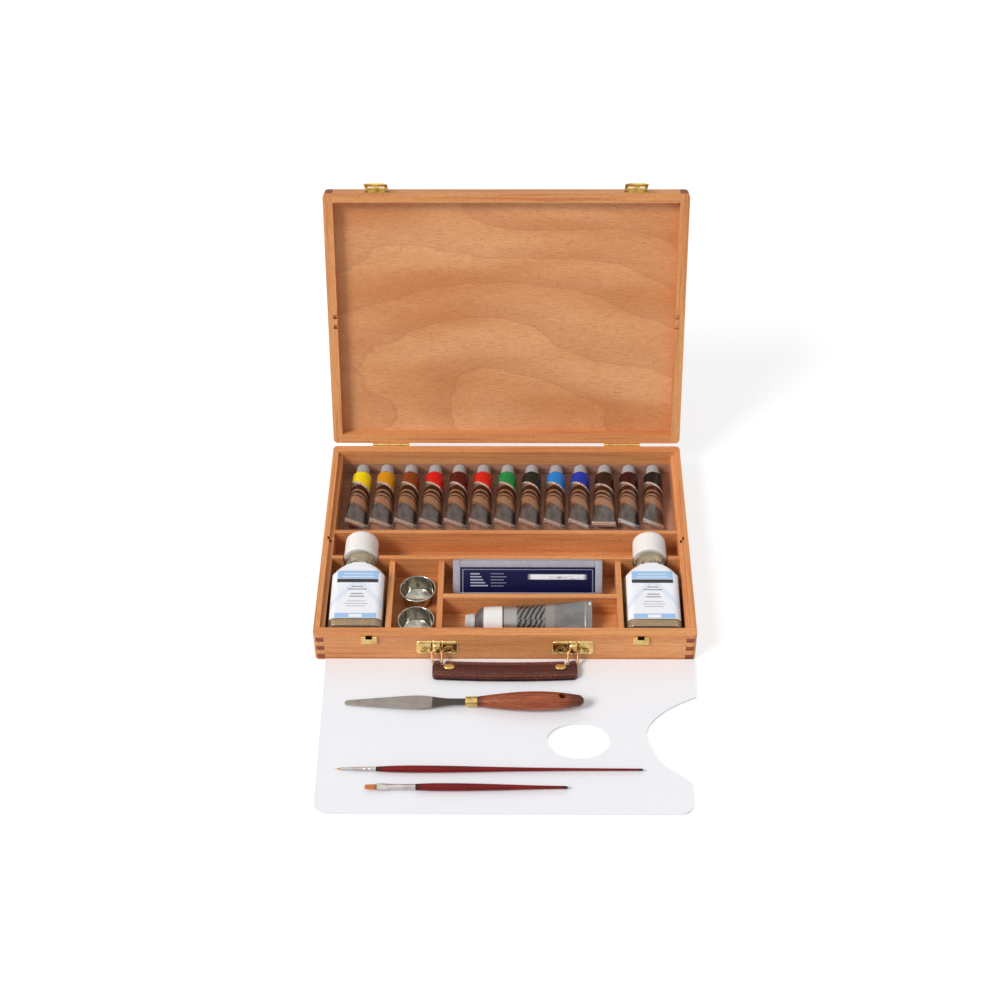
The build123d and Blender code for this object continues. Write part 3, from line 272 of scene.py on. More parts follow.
veneer_pale, veneer_mid, veneer_line = rgb(232, 172, 122), rgb(212, 142, 90), rgb(160, 88, 48)
veneer = finish("lid_panel", Specular_IOR_Level=0.3, Roughness=0.5)
tree = veneer.node_tree
spot = where(tree, lid_angle)
drift = cloudy(tree, spot, (2.6, 3.6, 1.0), 62, 1.0, 0.4)
ripple = cloudy(tree, spot, (10, 26, 1.0), 63, 2)
rise = node(tree, "SeparateXYZ", spot).outputs["Y"]
wander = sums(tree, "MULTIPLY_ADD", drift, 4.2, sums(tree, "MULTIPLY", ripple, 0.22))
hill = sums(tree, "MULTIPLY_ADD", rise, 9.0, wander)
rings = sums(tree, "FRACT", sums(tree, "MULTIPLY", hill, 1.9))
edge = sums(tree, "SUBTRACT", 1.0, between(tree, rings, 0.0, 0.06))
rings = sums(tree, "MULTIPLY_ADD", between(tree, rings, 0.35, 0.98), 0.55, edge)
patch = cloudy(tree, spot, (4, 16, 1.0), 66, 2)
fibre = cloudy(tree, spot, (75, 1100, 1.0), 67, 3, 0.75)
fleck = cloudy(tree, spot, (190, 1300, 1.0), 68, 1)
colour = mixed(tree, between(tree, patch, 0.3, 0.7), veneer_pale, veneer_mid)
colour = mixed(tree, sums(tree, "MULTIPLY", rings, 0.30), colour, veneer_line)
colour = tinted(tree, colour, fibre, 0.40, 0.75, 0.42, veneer_line)
colour = tinted(tree, colour, fleck, 0.60, 0.70, 0.38, beech_fleck)
join(veneer, Base_Color=colour, Normal=bumped(tree, fibre, 0.0001, 0.4))
dress("lid_panel", veneer)

# Hinges: two brass butt hinges of folded sheet, screwed to the back of the base and of the lid.
# Their leaves turn on brass pins.
brass_bright, brass_deep = rgb(236, 205, 130), rgb(196, 152, 78)


def metal(name, bright, deep, shine=0.22, grain=(900, 900, 900), depth=0.00002):
    # polished metal with faint wear and tarnish in cloudy patches
    made = finish(name, Metallic=1.0)
    tree = made.node_tree
    spot = where(tree)
    stain = cloudy(tree, spot, (90, 90, 90), 5, 4, 0.6)
    scratch = cloudy(tree, spot, grain, 6, 3, 0.65)
    colour = mixed(tree, between(tree, stain, 0.35, 0.75), bright, deep)
    rough = sums(tree, "MULTIPLY_ADD", scratch, 0.16, shine)
    return join(made, Base_Color=colour, Roughness=rough, Normal=bumped(tree, scratch, depth, 0.6))


brass = metal("brass", brass_bright, brass_deep)
for name in ("hinge_base_leaves", "hinge_lid_leaves", "hinge_pins", "lid_screws", "base_screws"):
    dress(name, brass)

# Catches: a brass plate pinned to the lid's edge carries a swinging hasp on a pin; the keeper is
# let into the front wall, and the shade in its slot is painted on it as a dark patch.
catch_brass = metal("catch_brass", rgb(240, 212, 140), rgb(190, 146, 72), 0.18)
for name in ("catch_plates", "catch_pins", "catch_hasp_left", "catch_hasp_right"):
    dress(name, catch_brass)
keeper_x, slot_half, slot_drop, slot_skin = 0.1415, 0.0036, 0.0050, 0.0003
keeper_brass = metal("keeper_brass", rgb(240, 212, 140), rgb(206, 166, 92), 0.18)
# the keeper's slot is not cut: painted shade, a dark patch near its top, stands for the hole
tree = keeper_brass.node_tree
low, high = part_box("catch_keepers")
axes = node(tree, "SeparateXYZ", where(tree)).outputs
off_middle = sums(tree, "SUBTRACT", sums(tree, "ABSOLUTE", axes["X"]), keeper_x)
off_middle = sums(tree, "ABSOLUTE", off_middle)
near_top = sums(tree, "GREATER_THAN", axes["Z"], high[2] - slot_drop)
painted_slot_shade = sums(tree, "MULTIPLY", sums(tree, "LESS_THAN", off_middle, slot_half), near_top)
under_skin = sums(tree, "GREATER_THAN", axes["Y"], low[1] + slot_skin)
painted_slot_shade = sums(tree, "MULTIPLY", painted_slot_shade, under_skin)


def colour_of(made):
    # the colour that a finished material already has
    return made.node_tree.nodes["Principled BSDF"].inputs["Base Color"].links[0].from_socket


join(keeper_brass, Base_Color=mixed(tree, painted_slot_shade, colour_of(keeper_brass), rgb(52, 26, 14)))
dress("catch_keepers", keeper_brass)

# Handle fittings: pressed brass brackets with a raised bridge, screwed to the front wall, and
# coppery wire rings that join them to the grip.
bracket_brass = metal("bracket_brass", rgb(246, 220, 146), rgb(200, 156, 82), 0.14)
bracket_x, bracket_z, bracket_half, bracket_rise, bracket_corner = 71.0, 19.0, 22.0, 9.5, 3.6
bracket_step, bracket_rows, bracket_columns = 0.5, 39, 89
bracket_swell, bracket_edge = 1.7, 3.2
screw_x, screw_z, screw_out, screw_in, slot_long, slot_wide = 12.6, -2.2, 2.06, 1.2, 1.9, 0.35
dish_deep, dish_radius, rim_high, rim_radius, rim_half = 0.9, 4.4, 0.5, 5.0, 1.3
crease_x, crease_deep, crease_half = 4.6, 0.8, 1.2
bridge_path = ((0.2, 7.4), (2.4, 7.2), (4.4, 6.2), (5.6, 4.0), (5.9, 1.0), (5.8, -2.0), (5.0, -5.0),
               (3.2, -6.6), (0.2, -7.0))
bridge_across, bridge_round = (-3.0, -2.4, -1.2, 0, 1.2, 2.4, 3.0), 0.7
dress("handle_rings", metal("ring_wire", rgb(226, 176, 128), rgb(170, 110, 72), 0.2))


def add(name, mesh, made, body, stands_for=(), at=None, angle=35):
    # puts a finished mesh into the scene as one piece of the object
    thing = bpy.data.objects.new(name, mesh)
    bpy.context.scene.collection.objects.link(thing)
    if at is not None:
        thing.matrix_world = at
    mesh.materials.clear()
    mesh.materials.append(made)
    mesh.polygons.foreach_set("use_smooth", [True] * len(mesh.polygons))
    if angle:
        mesh.set_sharp_from_angle(angle=radians(angle))
    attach(thing, body)
    if stands_for:
        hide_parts(*stands_for)
    return thing


def shape(name, verts, faces):
    # a mesh from points in millimetres
    made = bpy.data.meshes.new(name)
    made.from_pydata([[c * mm for c in p] for p in verts], [], faces)
    return made


def grid_faces(rows, columns):
    return [(r * columns + c, r * columns + c + 1, (r + 1) * columns + c + 1, (r + 1) * columns + c)
            for r in range(rows - 1) for c in range(columns - 1)]


front_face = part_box("base_front")[0][1] / mm
verts, faces = [], []
for side in (-1, 1):
    start = len(verts)
    for row in range(bracket_rows):
        for column in range(bracket_columns):
            x, z = -bracket_half + column * bracket_step, -bracket_rise + row * bracket_step
            over_x = abs(x) - bracket_half + bracket_corner
            over_z = abs(z) - bracket_rise + bracket_corner
            reach = (max(over_x, 0) ** 2 + max(over_z, 0) ** 2) ** 0.5
            if reach > bracket_corner:
                x = (abs(x) - over_x + over_x * bracket_corner / reach) * (1 if x > 0 else -1)
                z = (abs(z) - over_z + over_z * bracket_corner / reach) * (1 if z > 0 else -1)
                reach = bracket_corner
            inside = bracket_corner - reach - min(max(over_x, over_z), 0)
            off_screw = ((abs(x) - screw_x) ** 2 + (z - screw_z) ** 2) ** 0.5
            lift = bracket_swell * (1 - (1 - min(1, inside / bracket_edge)) ** 2) ** 0.5
            lift -= dish_deep * max(0, 1 - (off_screw / dish_radius) ** 4)
            lift += rim_high * max(0, 1 - ((off_screw - rim_radius) / rim_half) ** 2)
            lift -= crease_deep * max(0, 1 - ((abs(x) - crease_x) / crease_half) ** 2)
            verts.append((side * bracket_x + x, front_face - max(0.0, lift), bracket_z + z))
    faces += [tuple(start + v for v in face) for face in grid_faces(bracket_rows, bracket_columns)]
    start = len(verts)
    for out, z in bridge_path:
        for x in bridge_across:
            out_here = max(0.0, out - bridge_round * (abs(x) / bridge_across[-1]) ** 3)
            verts.append((side * bracket_x + x, front_face - out_here, bracket_z + z))
    bridge_faces = grid_faces(len(bridge_path), len(bridge_across))
    faces += [tuple(start + v for v in face) for face in bridge_faces]
plates = shape("bracket_plates", verts, faces)
add("bracket_plates", plates, bracket_brass, "base", ("handle_brackets",), angle=50)
bar_faces = ((0, 1, 2, 3), (4, 7, 6, 5), (0, 4, 5, 1), (1, 5, 6, 2), (2, 6, 7, 3), (3, 7, 4, 0))
# dark crosses on the screw heads stand for their cross slots: painted shade on thin bars, not cut
# recesses
verts, faces = [], []
for x in (-bracket_x - screw_x, -bracket_x + screw_x, bracket_x - screw_x, bracket_x + screw_x):
    for wide, tall in ((slot_long, slot_wide), (slot_wide, slot_long)):
        start = len(verts)
        for y in (front_face - screw_out, front_face - screw_in):
            for a, b in ((-1, -1), (1, -1), (1, 1), (-1, 1)):
                verts.append((x + a * wide, y, bracket_z + screw_z + b * tall))
        faces += [tuple(start + v for v in face) for face in bar_faces]
# the dark colours here are painted shade of the screw slots, in cloudy patches
slot_shade_brass = metal("screw_slot_shade", rgb(60, 44, 26), rgb(30, 20, 12), 0.4)
add("screw_cross_shades", shape("screw_cross_shades", verts, faces), slot_shade_brass, "base", angle=30)

# Leather grip: a padded strap of dark brown pebbled leather, folded round a core and sewn along
# both long edges, with an ear at each end round the ring.
leather_dark, leather_worn = rgb(70, 22, 14), rgb(140, 70, 40)
grip_low, grip_high = (Vector(c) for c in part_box("handle_grip"))
grip_half, grip_bow, grip_width = 75.5, 2.5, 22.0
ear_x, ear_half, ear_gap_to, ear_notch, end_corner = 71.0, 3.0, 9.0, 6.0, 5.5
seam_inset, seam_high, seam_half = 2.4, 1.3, 1.7
stitch_pitch, stitch_slant, stitch_deep = 2.6, 0.7, 0.75
groove_deep, groove_half, core_high, core_half, edge_deep, edge_wide = 0.9, 1.1, 0.6, 7, 1.3, 1.6
skin_room, under_share, voxel, soft_turns = 0.9, 0.35, 0.0006, 6
grip_back = grip_high.y / mm


def leather_back(x):
    # the back edge, cut in beside each ear
    y = grip_back - grip_bow * (1 - (x / grip_half) ** 2)
    if ear_half < abs(abs(x) - ear_x) < ear_gap_to:
        y -= ear_notch
    return y


ear_edges = (-ear_gap_to, 0.01 - ear_gap_to, -ear_half, 0.01 - ear_half, ear_half - 0.01, ear_half)
columns = sorted({round(i - grip_half, 3) for i in range(152)}
                 | {side * (ear_x + d) for side in (-1, 1) for d in ear_edges})
verts, faces = [], []
for x in columns:
    front = grip_back - grip_bow * (1 - (x / grip_half) ** 2) - grip_width
    for z in (grip_low.z / mm, grip_high.z / mm):
        verts += [(x, leather_back(x), z), (x, front, z)]
for i in range(len(columns) - 1):
    a, b = 4 * i, 4 * i + 4
    faces += [(a, a + 1, b + 1, b), (a + 2, b + 2, b + 3, a + 3), (a, b, b + 2, a + 2),
              (a + 1, a + 3, b + 3, b + 1)]
last = 4 * (len(columns) - 1)
faces += [(0, 2, 3, 1), (last, last + 1, last + 3, last + 2)]


def worked(mesh, *steps):
    # the mesh after one or more modifiers, each given as its kind and its settings
    holder = bpy.data.objects.new(mesh.name, mesh)
    bpy.context.scene.collection.objects.link(holder)
    for kind, settings in steps:
        step = holder.modifiers.new(kind.lower(), kind)
        for name, value in settings.items():
            setattr(step, name, value)
    depsgraph = bpy.context.evaluated_depsgraph_get()
    made = bpy.data.meshes.new_from_object(holder.evaluated_get(depsgraph))
    bpy.data.objects.remove(holder)
    return made


leather_mesh = worked(shape("strap", verts, faces),
                      ("REMESH", {"mode": "VOXEL", "voxel_size": voxel}),
                      ("SMOOTH", {"factor": 0.5, "iterations": soft_turns}))
middle_z = (grip_low.z + grip_high.z) / 2 / mm
seam_marks = []
for v in leather_mesh.vertices:
    x, y, z = (c / mm for c in v.co)
    bow = grip_bow * (1 - (x / grip_half) ** 2)
    past, short = abs(x) - grip_half + end_corner, end_corner - (y - (grip_back - bow - grip_width))
    reach = (max(past, 0) ** 2 + max(short, 0) ** 2) ** 0.5
    if past > 0 and short > 0 and reach > end_corner:
        v.co.x = (grip_half - end_corner + past * end_corner / reach) * (1 if x > 0 else -1) * mm
        v.co.y += (short - short * end_corner / reach) * mm
        y = v.co.y / mm
    inward = min(grip_back - bow - y, y - (grip_back - bow - grip_width))
    top = 1 if z > middle_z else -under_share
    roll = max(0.0, 1 - ((inward - seam_inset) / seam_half) ** 2) ** 0.5
    stitch = (1 + cos(2 * pi * (x + stitch_slant * y) / stitch_pitch)) / 2
    pinch = stitch_deep * stitch if roll else 0.0
    seam_marks.append(roll * (1 - pinch) if z > middle_z else 0.0)
    swell = core_high * max(0.0, 1 - ((inward - grip_width / 2) / core_half) ** 2)
    edge_drop = edge_deep * max(0.0, 1 - inward / edge_wide) ** 2
    groove = groove_deep * max(0.0, 1 - abs(inward - 2 * seam_inset) / groove_half)
    v.co.z += top * (seam_high * roll * (1 - pinch) - groove + swell - skin_room - edge_drop) * mm
seam_layer = leather_mesh.attributes.new("seam", "FLOAT", "POINT")
seam_layer.data.foreach_set("value", seam_marks)
leather = finish("leather", Specular_IOR_Level=0.45)
tree = leather.node_tree
spot = where(tree)
pebble = node(tree, "TexVoronoi", spot, feature="SMOOTH_F1", Scale=620.0).outputs["Distance"]
wrinkle = cloudy(tree, spot, (260, 420, 260), 3, 4, 0.6)
blotch = cloudy(tree, spot, (40, 90, 40), 4, 3)
high_spots = between(tree, node(tree, "Attribute", attribute_name="seam").outputs["Fac"], 0.25, 0.8)
colour = mixed(tree, between(tree, blotch, 0.35, 0.7), leather_dark, rgb(92, 34, 20))
colour = mixed(tree, sums(tree, "MULTIPLY", high_spots, 0.75), colour, leather_worn)
colour = tinted(tree, colour, pebble, 0.35, 0.75, 0.4, rgb(40, 13, 9))
relief = sums(tree, "MULTIPLY_ADD", wrinkle, 0.8, pebble)
join(leather, Base_Color=colour, Roughness=sums(tree, "MULTIPLY_ADD", pebble, 0.2, 0.36),
     Normal=bumped(tree, relief, 0.0007, 0.9))
grip = add("grip_leather", leather_mesh, leather, "handle", ("handle_grip",), angle=0)
dress("handle_rivets", bracket_brass)

# Clear tray: one thin vacuum formed sheet of clear plastic with low ribs between the tubes. It lies
# loose in the back bay of the box.
tray_plastic = finish("tray_plastic", Base_Color=rgb(190, 168, 172), Alpha=0.17,
                      Specular_IOR_Level=0.8, Coat_Weight=0.6, Coat_Roughness=0.06)
tree = tray_plastic.node_tree
spot = where(tree)
wave = cloudy(tree, spot, (120, 30, 60), 7, 2)
join(tray_plastic, Roughness=sums(tree, "MULTIPLY_ADD", wave, 0.15, 0.08),
     Normal=bumped(tree, wave, 0.002, 0.6))
dress("tube_tray", tray_plastic)

# Small tubes: thirteen soft metal tubes, round at the shoulder, rolled flat and crimped at the
# tail, with a painted colour band, a printed brown body and a grey screw cap.
band_colours = [rgb(246, 226, 20), rgb(216, 152, 20), rgb(134, 66, 24), rgb(216, 26, 24),
                rgb(86, 22, 16), rgb(216, 32, 22), rgb(20, 142, 72), rgb(26, 34, 28),
                rgb(34, 134, 222), rgb(26, 56, 178), rgb(48, 26, 18), rgb(58, 10, 16),
                rgb(16, 16, 18)]
tube_radius, tube_length, crimp_length, tail_size = 10.75, 69.5, 6.5, (27.0, 2.4)
tube_sections = ((0.0, 10.75, 10.75), (0.42, 11.2, 9.4), (0.8, 12.4, 5.2), (1.0, 13.5, 1.2))
shoulder_high, neck_radius = 4.5, 4.2
cap_radius, cap_length, cap_gap, cap_taper, cap_ribs, lean_share = 8.2, 13.0, 0.3, 0.86, 24, 0.45
tray_room, tray_sheet, cap_room, rest_gap, tube_margin, tube_pitch = 0.6, 0.8, 2.6, 0.3, 8.85, 27.9
tube_slant, tube_droop, tube_roll, flat_tube = radians(2.1), radians(1.9), radians(-25), 11
tan_print, swoosh = rgb(158, 116, 86), rgb(52, 24, 14)
warm_metal, pale_print = rgb(84, 76, 72), rgb(226, 208, 196)


def skin(name, rings, marks=None, ends=(True, True)):
    # a closed skin through rings of points in millimetres; marks gives each point's place in the
    # print
    count = len(rings[0])
    faces, loops = [], []
    for i in range(len(rings) - 1):
        for j in range(count):
            k = (j + 1) % count
            faces.append((i * count + j, i * count + k, (i + 1) * count + k, (i + 1) * count + j))
            loops.append(((i, j), (i, j + 1), (i + 1, j + 1), (i + 1, j)))
    for here, ring in ((ends[0], 0), (ends[1], len(rings) - 1)):
        if here:
            order = range(count) if ring else reversed(range(count))
            faces.append([ring * count + j for j in order])
            loops.append([(ring, v % count) for v in faces[-1]])
    mesh = shape(name, [p for ring in rings for p in ring], faces)
    if marks:
        layer = mesh.uv_layers.new(name="print")
        spots = [marks(i, j) for face in loops for i, j in face]
        layer.data.foreach_set("uv", [c for s in spots for c in s])
    return mesh


def oval(wide, thick, z, count=56, power=2.0):
    # a ring of points, starting in the middle of the underside; higher powers square it off
    ring = []
    for j in range(count):
        t = 2 * pi * j / count - pi / 2
        ring.append((wide * abs(cos(t)) ** (2 / power) * (1 if cos(t) > 0 else -1),
                     thick * abs(sin(t)) ** (2 / power) * (1 if sin(t) > 0 else -1), z))
    return ring


def blended(sections, reach):
    # width and thickness of a tube between its known sections, easing through them
    for (a, *first), (b, *second) in zip(sections, sections[1:]):
        if reach <= b:
            share = (reach - a) / (b - a)
            return [f + (s - f) * share for f, s in zip(first, second)]
    return sections[-1][1:]


def turned_ring(ring, angle):
    # the ring turned about its own axis
    return [(x * cos(angle) - y * sin(angle), x * sin(angle) + y * cos(angle), z) for x, y,
            z in ring]


def tube_skin(name, sections, length, crimp, tail, shoulder, neck, roll, dents):
    # one tube from its neck to its crimp, with its print laid out from the top middle line
    count, rings = 56, []
    widest = sections[0][1]
    rings.append(oval(neck, neck, -shoulder - 1.5, count))
    for share in (0, 0.3, 0.6, 0.85, 1.0):
        r = neck + 1.2 + (widest - neck - 1.2) * share
        rings.append(oval(r, r, -shoulder + (shoulder - 0.8) * share ** 1.6, count))
    for step in range(25):
        reach = step / 24
        wide, thick = blended(sections, reach)
        ring = oval(wide, thick, reach * length, count, 2 + 0.25 * reach)
        worn = []
        for x, y, z in ring:
            dip = chance.noise(Vector((x * 0.11 + dents, y * 0.09, z * 0.06 + dents)))
            edge = 1 - abs(x / wide) ** 2
            push = 0.45 * dip * edge * min(1.0, reach * 4) * (1 if y > 0 else -1)
            worn.append((x, y + push if thick > 2 else y, z))
        rings.append(turned_ring(worn, roll))
    folds = ((0.0, 1.0), (0.15, 1.12), (0.32, 1.12), (0.36, 0.92), (0.64, 0.92), (0.68, 1.08),
             (0.97, 1.08), (1.0, 0.8))
    for share, swell in folds:
        ring = oval(tail[0] / 2, tail[1] / 2 * swell, length + crimp * share + 0.01, count, 6)
        rings.append(turned_ring(ring, roll))
    around = 2 * pi * widest

    def marks(i, j):
        return ((j / count - 0.5) * around * mm, rings[i][0][2] * mm)

    return skin(name, rings, marks)


def print_spots(tree):
    # the place in the print in millimetres, sideways and down
    split = node(tree, "SeparateXYZ", node(tree, "UVMap", uv_map="print").outputs[0]).outputs
    return [sums(tree, "MULTIPLY", split[axis], 1 / mm) for axis in "XY"]


def stripe(tree, value, low, high, soft=0.25):
    # 1 between low and high millimetres
    first = between(tree, value, low - soft, low + soft)
    second = between(tree, value, high - soft, high + soft)
    return sums(tree, "SUBTRACT", first, second)


def tube_print(name, band):
    # painted band, brown body with dark brushed sweeps, bare grey metal at neck and tail
    made = finish(name, Specular_IOR_Level=0.3)
    tree = made.node_tree
    side, down = print_spots(tree)
    spot = where(tree)
    stain = cloudy(tree, spot, (160, 160, 60), 9, 4, 0.65)
    brush = cloudy(tree, spot, (900, 900, 110), 10, 3, 0.7)
    scratch = cloudy(tree, spot, (700, 700, 140), 11, 3, 0.7)
    grey = mixed(tree, between(tree, stain, 0.3, 0.75), warm_metal, rgb(118, 108, 102))
    lean = sums(tree, "MULTIPLY_ADD", side, lean_share, down)
    wobble = sums(tree, "MULTIPLY_ADD", brush, 3.0, -1.5)
    curl = sums(tree, "MULTIPLY_ADD", sums(tree, "MULTIPLY", side, side), -0.035,
                sums(tree, "ADD", lean, wobble))
    colour = mixed(tree, stripe(tree, curl, 20, 49, 0.8), grey, tan_print)
    for low, high in ((21.8, 28.5), (31.0, 34.4), (37.0, 38.6)):
        colour = mixed(tree, stripe(tree, curl, low, high, 0.6), colour, swoosh)
    trail = stripe(tree, lean, 27, 42, 2.0)
    trail = sums(tree, "MULTIPLY", between(tree, brush, 0.52, 0.62), trail)
    colour = mixed(tree, sums(tree, "MULTIPLY", trail, 0.5), colour, swoosh)
    fringe = stripe(tree, lean, 18.6, 21.4, 0.4)
    fringe = sums(tree, "MULTIPLY", fringe, between(tree, brush, 0.40, 0.52))
    colour = mixed(tree, fringe, colour, pale_print)
    colour = mixed(tree, stripe(tree, lean, -12.0, 18.6, 0.3), colour, band)
    neck_bare = sums(tree, "SUBTRACT", 1.0, between(tree, down, -2.6, -2.0))
    colour = mixed(tree, neck_bare, colour, rgb(176, 176, 178))
    foil = between(tree, down, tube_length - 0.5, tube_length + 1.0)
    colour = mixed(tree, foil, colour, rgb(196, 192, 190))
    gloss = sums(tree, "MULTIPLY_ADD", between(tree, lean, 47, 52), 0.65, 0.2)
    return join(made, Base_Color=colour, Metallic=gloss, Coat_Weight=0.12, Coat_Roughness=0.12,
                Roughness=sums(tree, "MULTIPLY_ADD", scratch, 0.2, 0.16),
                Normal=bumped(tree, scratch, 0.0003, 0.7))


def cap_skin(name, low_radius, high_radius, length, ribs, depth, start):
    # a moulded screw cap: ribbed side, rounded top edge and a shallow dished top
    count = ribs * 4
    profile = [(0.0, 0.97, 0), (0.05, 1.0, 0), (0.10, 1.0, 1), (0.80, 0.995, 1), (0.86, 0.99, 0.4),
               (0.90, 0.97, 0), (0.955, 0.91, 0), (0.985, 0.82, 0), (1.0, 0.70, 0), (1.0, 0.45, 0),
               (0.985, 0.40, 0), (0.985, 0.05, 0)]
    rings = []
    for reach, grow, ribbed in profile:
        base = (low_radius + (high_radius - low_radius) * reach) * grow
        ring = []
        for j in range(count):
            t = 2 * pi * j / count
            r = base - depth * ribbed * (0, 0.15, 1, 0.15)[j % 4]
            ring.append((r * cos(t), r * sin(t), start + length * reach))
        rings.append(ring)
    return skin(name, rings)


def mottled(made, first, second, stretch, seed, depth, strength, detail=3, rough=0.55, ends=None):
    # two close shades in soft blotches, over a faint relief that follows them
    tree = made.node_tree
    blotch = cloudy(tree, where(tree), stretch, seed, detail, rough)
    share = between(tree, blotch, *ends) if ends else blotch
    return join(made, Base_Color=mixed(tree, share, first, second),
                Normal=bumped(tree, blotch, depth, strength))


def laid(place, side, up):
    # a lying piece's own frame: where it starts in millimetres, its side and its long axis
    return Matrix.Translation(place * mm) @ Matrix((side, up.cross(side), up)).transposed().to_4x4()


def corners(name):
    # the two corners of a CAD node's box in millimetres
    return [Vector(corner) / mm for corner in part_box(name)]


cap_grey = finish("cap_grey", Roughness=0.42, Subsurface_Weight=0.1, Subsurface_Scale=0.002)
mottled(cap_grey, rgb(182, 182, 186), rgb(160, 160, 164), (500, 500, 500), 2, 0.0001, 0.4,
        ends=(0.35, 0.7))
low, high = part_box("tube_tray")
inner_half_width, inner_half_depth = high[0] / mm + tray_room, high[1] / mm + tray_room
tube_z = low[2] / mm + tray_sheet + rest_gap + tube_radius
cap_end = tray_room + tray_sheet + cap_room
shoulder_y = inner_half_depth - (cap_end + cap_length + cap_gap + shoulder_high)
tail_dir = Vector((-sin(tube_slant) * cos(tube_droop), -cos(tube_slant) * cos(tube_droop),
                   -sin(tube_droop)))
side_dir = Vector((cos(tube_slant), -sin(tube_slant), 0))
over = Matrix.Rotation(pi, 4, "X")
for number, band in enumerate(band_colours, start=1):
    x = -inner_half_width + tube_margin + (number - 0.5) * tube_pitch
    at = laid(Vector((x, shoulder_y, tube_z)), side_dir, tail_dir)
    body = f"small_tube_{number:02d}"
    mesh = tube_skin(f"tube_{number:02d}", tube_sections, tube_length, crimp_length, tail_size,
                     shoulder_high, neck_radius, 0 if number == flat_tube else tube_roll,
                     number * 3.7)
    add(f"tube_metal_{number:02d}", mesh, tube_print(f"tube_print_{number:02d}", band), body,
        (f"paint_tube_{number:02d}",), at)
    mesh = cap_skin(f"cap_{number:02d}", cap_radius, cap_taper * cap_radius, cap_length, cap_ribs,
                    0.3, shoulder_high + cap_gap)
    add(f"tube_cap_{number:02d}", mesh, cap_grey, body, (), at @ over)

# Large tube: a bigger metal tube lying with its crimp turned up, with a white band, dark brushed
# strokes over silver, a grey tail and a frosted ribbed cap.
large_sections = ((0.0, 15.0, 15.0), (0.45, 16.6, 12.6), (0.82, 20.0, 6.0), (1.0, 22.0, 1.5))
large_length, large_crimp, large_tail = 108.0, 8.0, (44.0, 3.0)
large_shoulder, large_neck = 8.0, 5.0
large_cap, large_cap_low, large_cap_high, large_roll, ply_top = 10.5, 7.8, 7.0, radians(35), 4.0
low, high = corners("large_tube")
start = Vector((low.x + large_cap + cap_gap + large_shoulder, (low.y + high.y) / 2,
                ply_top + rest_gap + large_sections[0][1]))
at = laid(start, Vector((0, -1, 0)), Vector((1, 0, 0)))
large_print = finish("large_print", Specular_IOR_Level=0.5)
tree = large_print.node_tree
side, down = print_spots(tree)
spot = where(tree)
stain = cloudy(tree, spot, (90, 90, 40), 19, 4, 0.65)
brush = cloudy(tree, spot, (260, 260, 60), 20, 3, 0.7)
lean = sums(tree, "MULTIPLY_ADD", side, 0.55, down)
wobble = sums(tree, "MULTIPLY_ADD", brush, 5.0, lean)
colour = mixed(tree, between(tree, stain, 0.3, 0.75), rgb(112, 110, 108), rgb(136, 134, 132))
strokes = between(tree, sums(tree, "SINE", sums(tree, "MULTIPLY", wobble, 1.15)), -0.2, 0.5)
zone = stripe(tree, down, 36, 66, 1.2)
colour = mixed(tree, sums(tree, "MULTIPLY", zone, strokes), colour, rgb(52, 44, 38))
soft_zone = stripe(tree, down, 22, 36, 0.8)
colour = mixed(tree, sums(tree, "MULTIPLY", soft_zone, 0.7), colour, rgb(176, 172, 166))
soft_zone = stripe(tree, down, 66, 76, 2.0)
colour = mixed(tree, sums(tree, "MULTIPLY", soft_zone, 0.6), colour, rgb(160, 150, 136))
colour = mixed(tree, stripe(tree, down, 1.0, 20.5, 0.3), colour, rgb(236, 236, 234))
colour = mixed(tree, stripe(tree, down, 21.5, 22.3, 0.2), colour, rgb(60, 58, 56))
scratch = cloudy(tree, spot, (700, 700, 140), 21, 3, 0.7)
bare_metal = mixed(tree, stripe(tree, down, 1, 20.5), (0.7, 0.7, 0.7, 1), (0, 0, 0, 1))
join(large_print, Base_Color=colour, Metallic=bare_metal,
     Roughness=sums(tree, "MULTIPLY_ADD", scratch, 0.22, 0.26), Coat_Weight=0.3, Coat_Roughness=0.2,
     Normal=bumped(tree, scratch, 0.0001, 0.5))
mesh = tube_skin("large_tube", large_sections, large_length, large_crimp, large_tail,
                 large_shoulder, large_neck, large_roll, 91.0)
add("large_tube_metal", mesh, large_print, "large_tube", ("large_tube",), at)
mesh = cap_skin("large_cap", large_cap_low, large_cap_high, large_cap, cap_ribs, 0.35,
                large_shoulder + cap_gap)
frosted = mottled(finish("frosted_cap", Transmission_Weight=0.35, Roughness=0.45, IOR=1.45),
                  rgb(214, 216, 218), rgb(236, 238, 240), (400, 400, 400), 4, 0.0001, 0.4)
add("large_tube_cap", mesh, frosted, "large_tube", (), at @ over)

# Bottles: flat sided clear glass flasks of painting medium with ribbed white caps, lying on their
# backs, their necks over the brush divider. A paper label is wrapped over front and shoulders.
bottle_tilt = radians(5.2)
glass_wide, glass_thick, glass_corner, glass_wall, glass_foot, heel = 58.0, 32.0, 9.0, 2.4, 2.6, 3.5
glass_body, glass_shoulder, glass_neck, neck_wide, front_room = 72.0, 17.0, 14.5, 15.2, 7.2
mouth_radius, mouth_length, around_flask, fill_room = 14.6, 22.0, 96, 0.06
neck_beads = ((2, 15.2), (3, 16.0), (4.5, 16.2), (10.5, 16.2), (12, 15.8), (13, 15.0), (14.5, 14.6))
plastic_radius, plastic_taper, plastic_length, plastic_ribs, plastic_gap = 18.5, 0.6, 28.0, 60, 0.3
label_low, label_high, label_rows, label_half, paper_lift = 10.0, 87.0, 41, 17, 0.15
arch_drop, arch_half, arch_power = 15.5, 27.0, 2.2
label_blue, label_white = rgb(158, 196, 236), rgb(242, 244, 250)


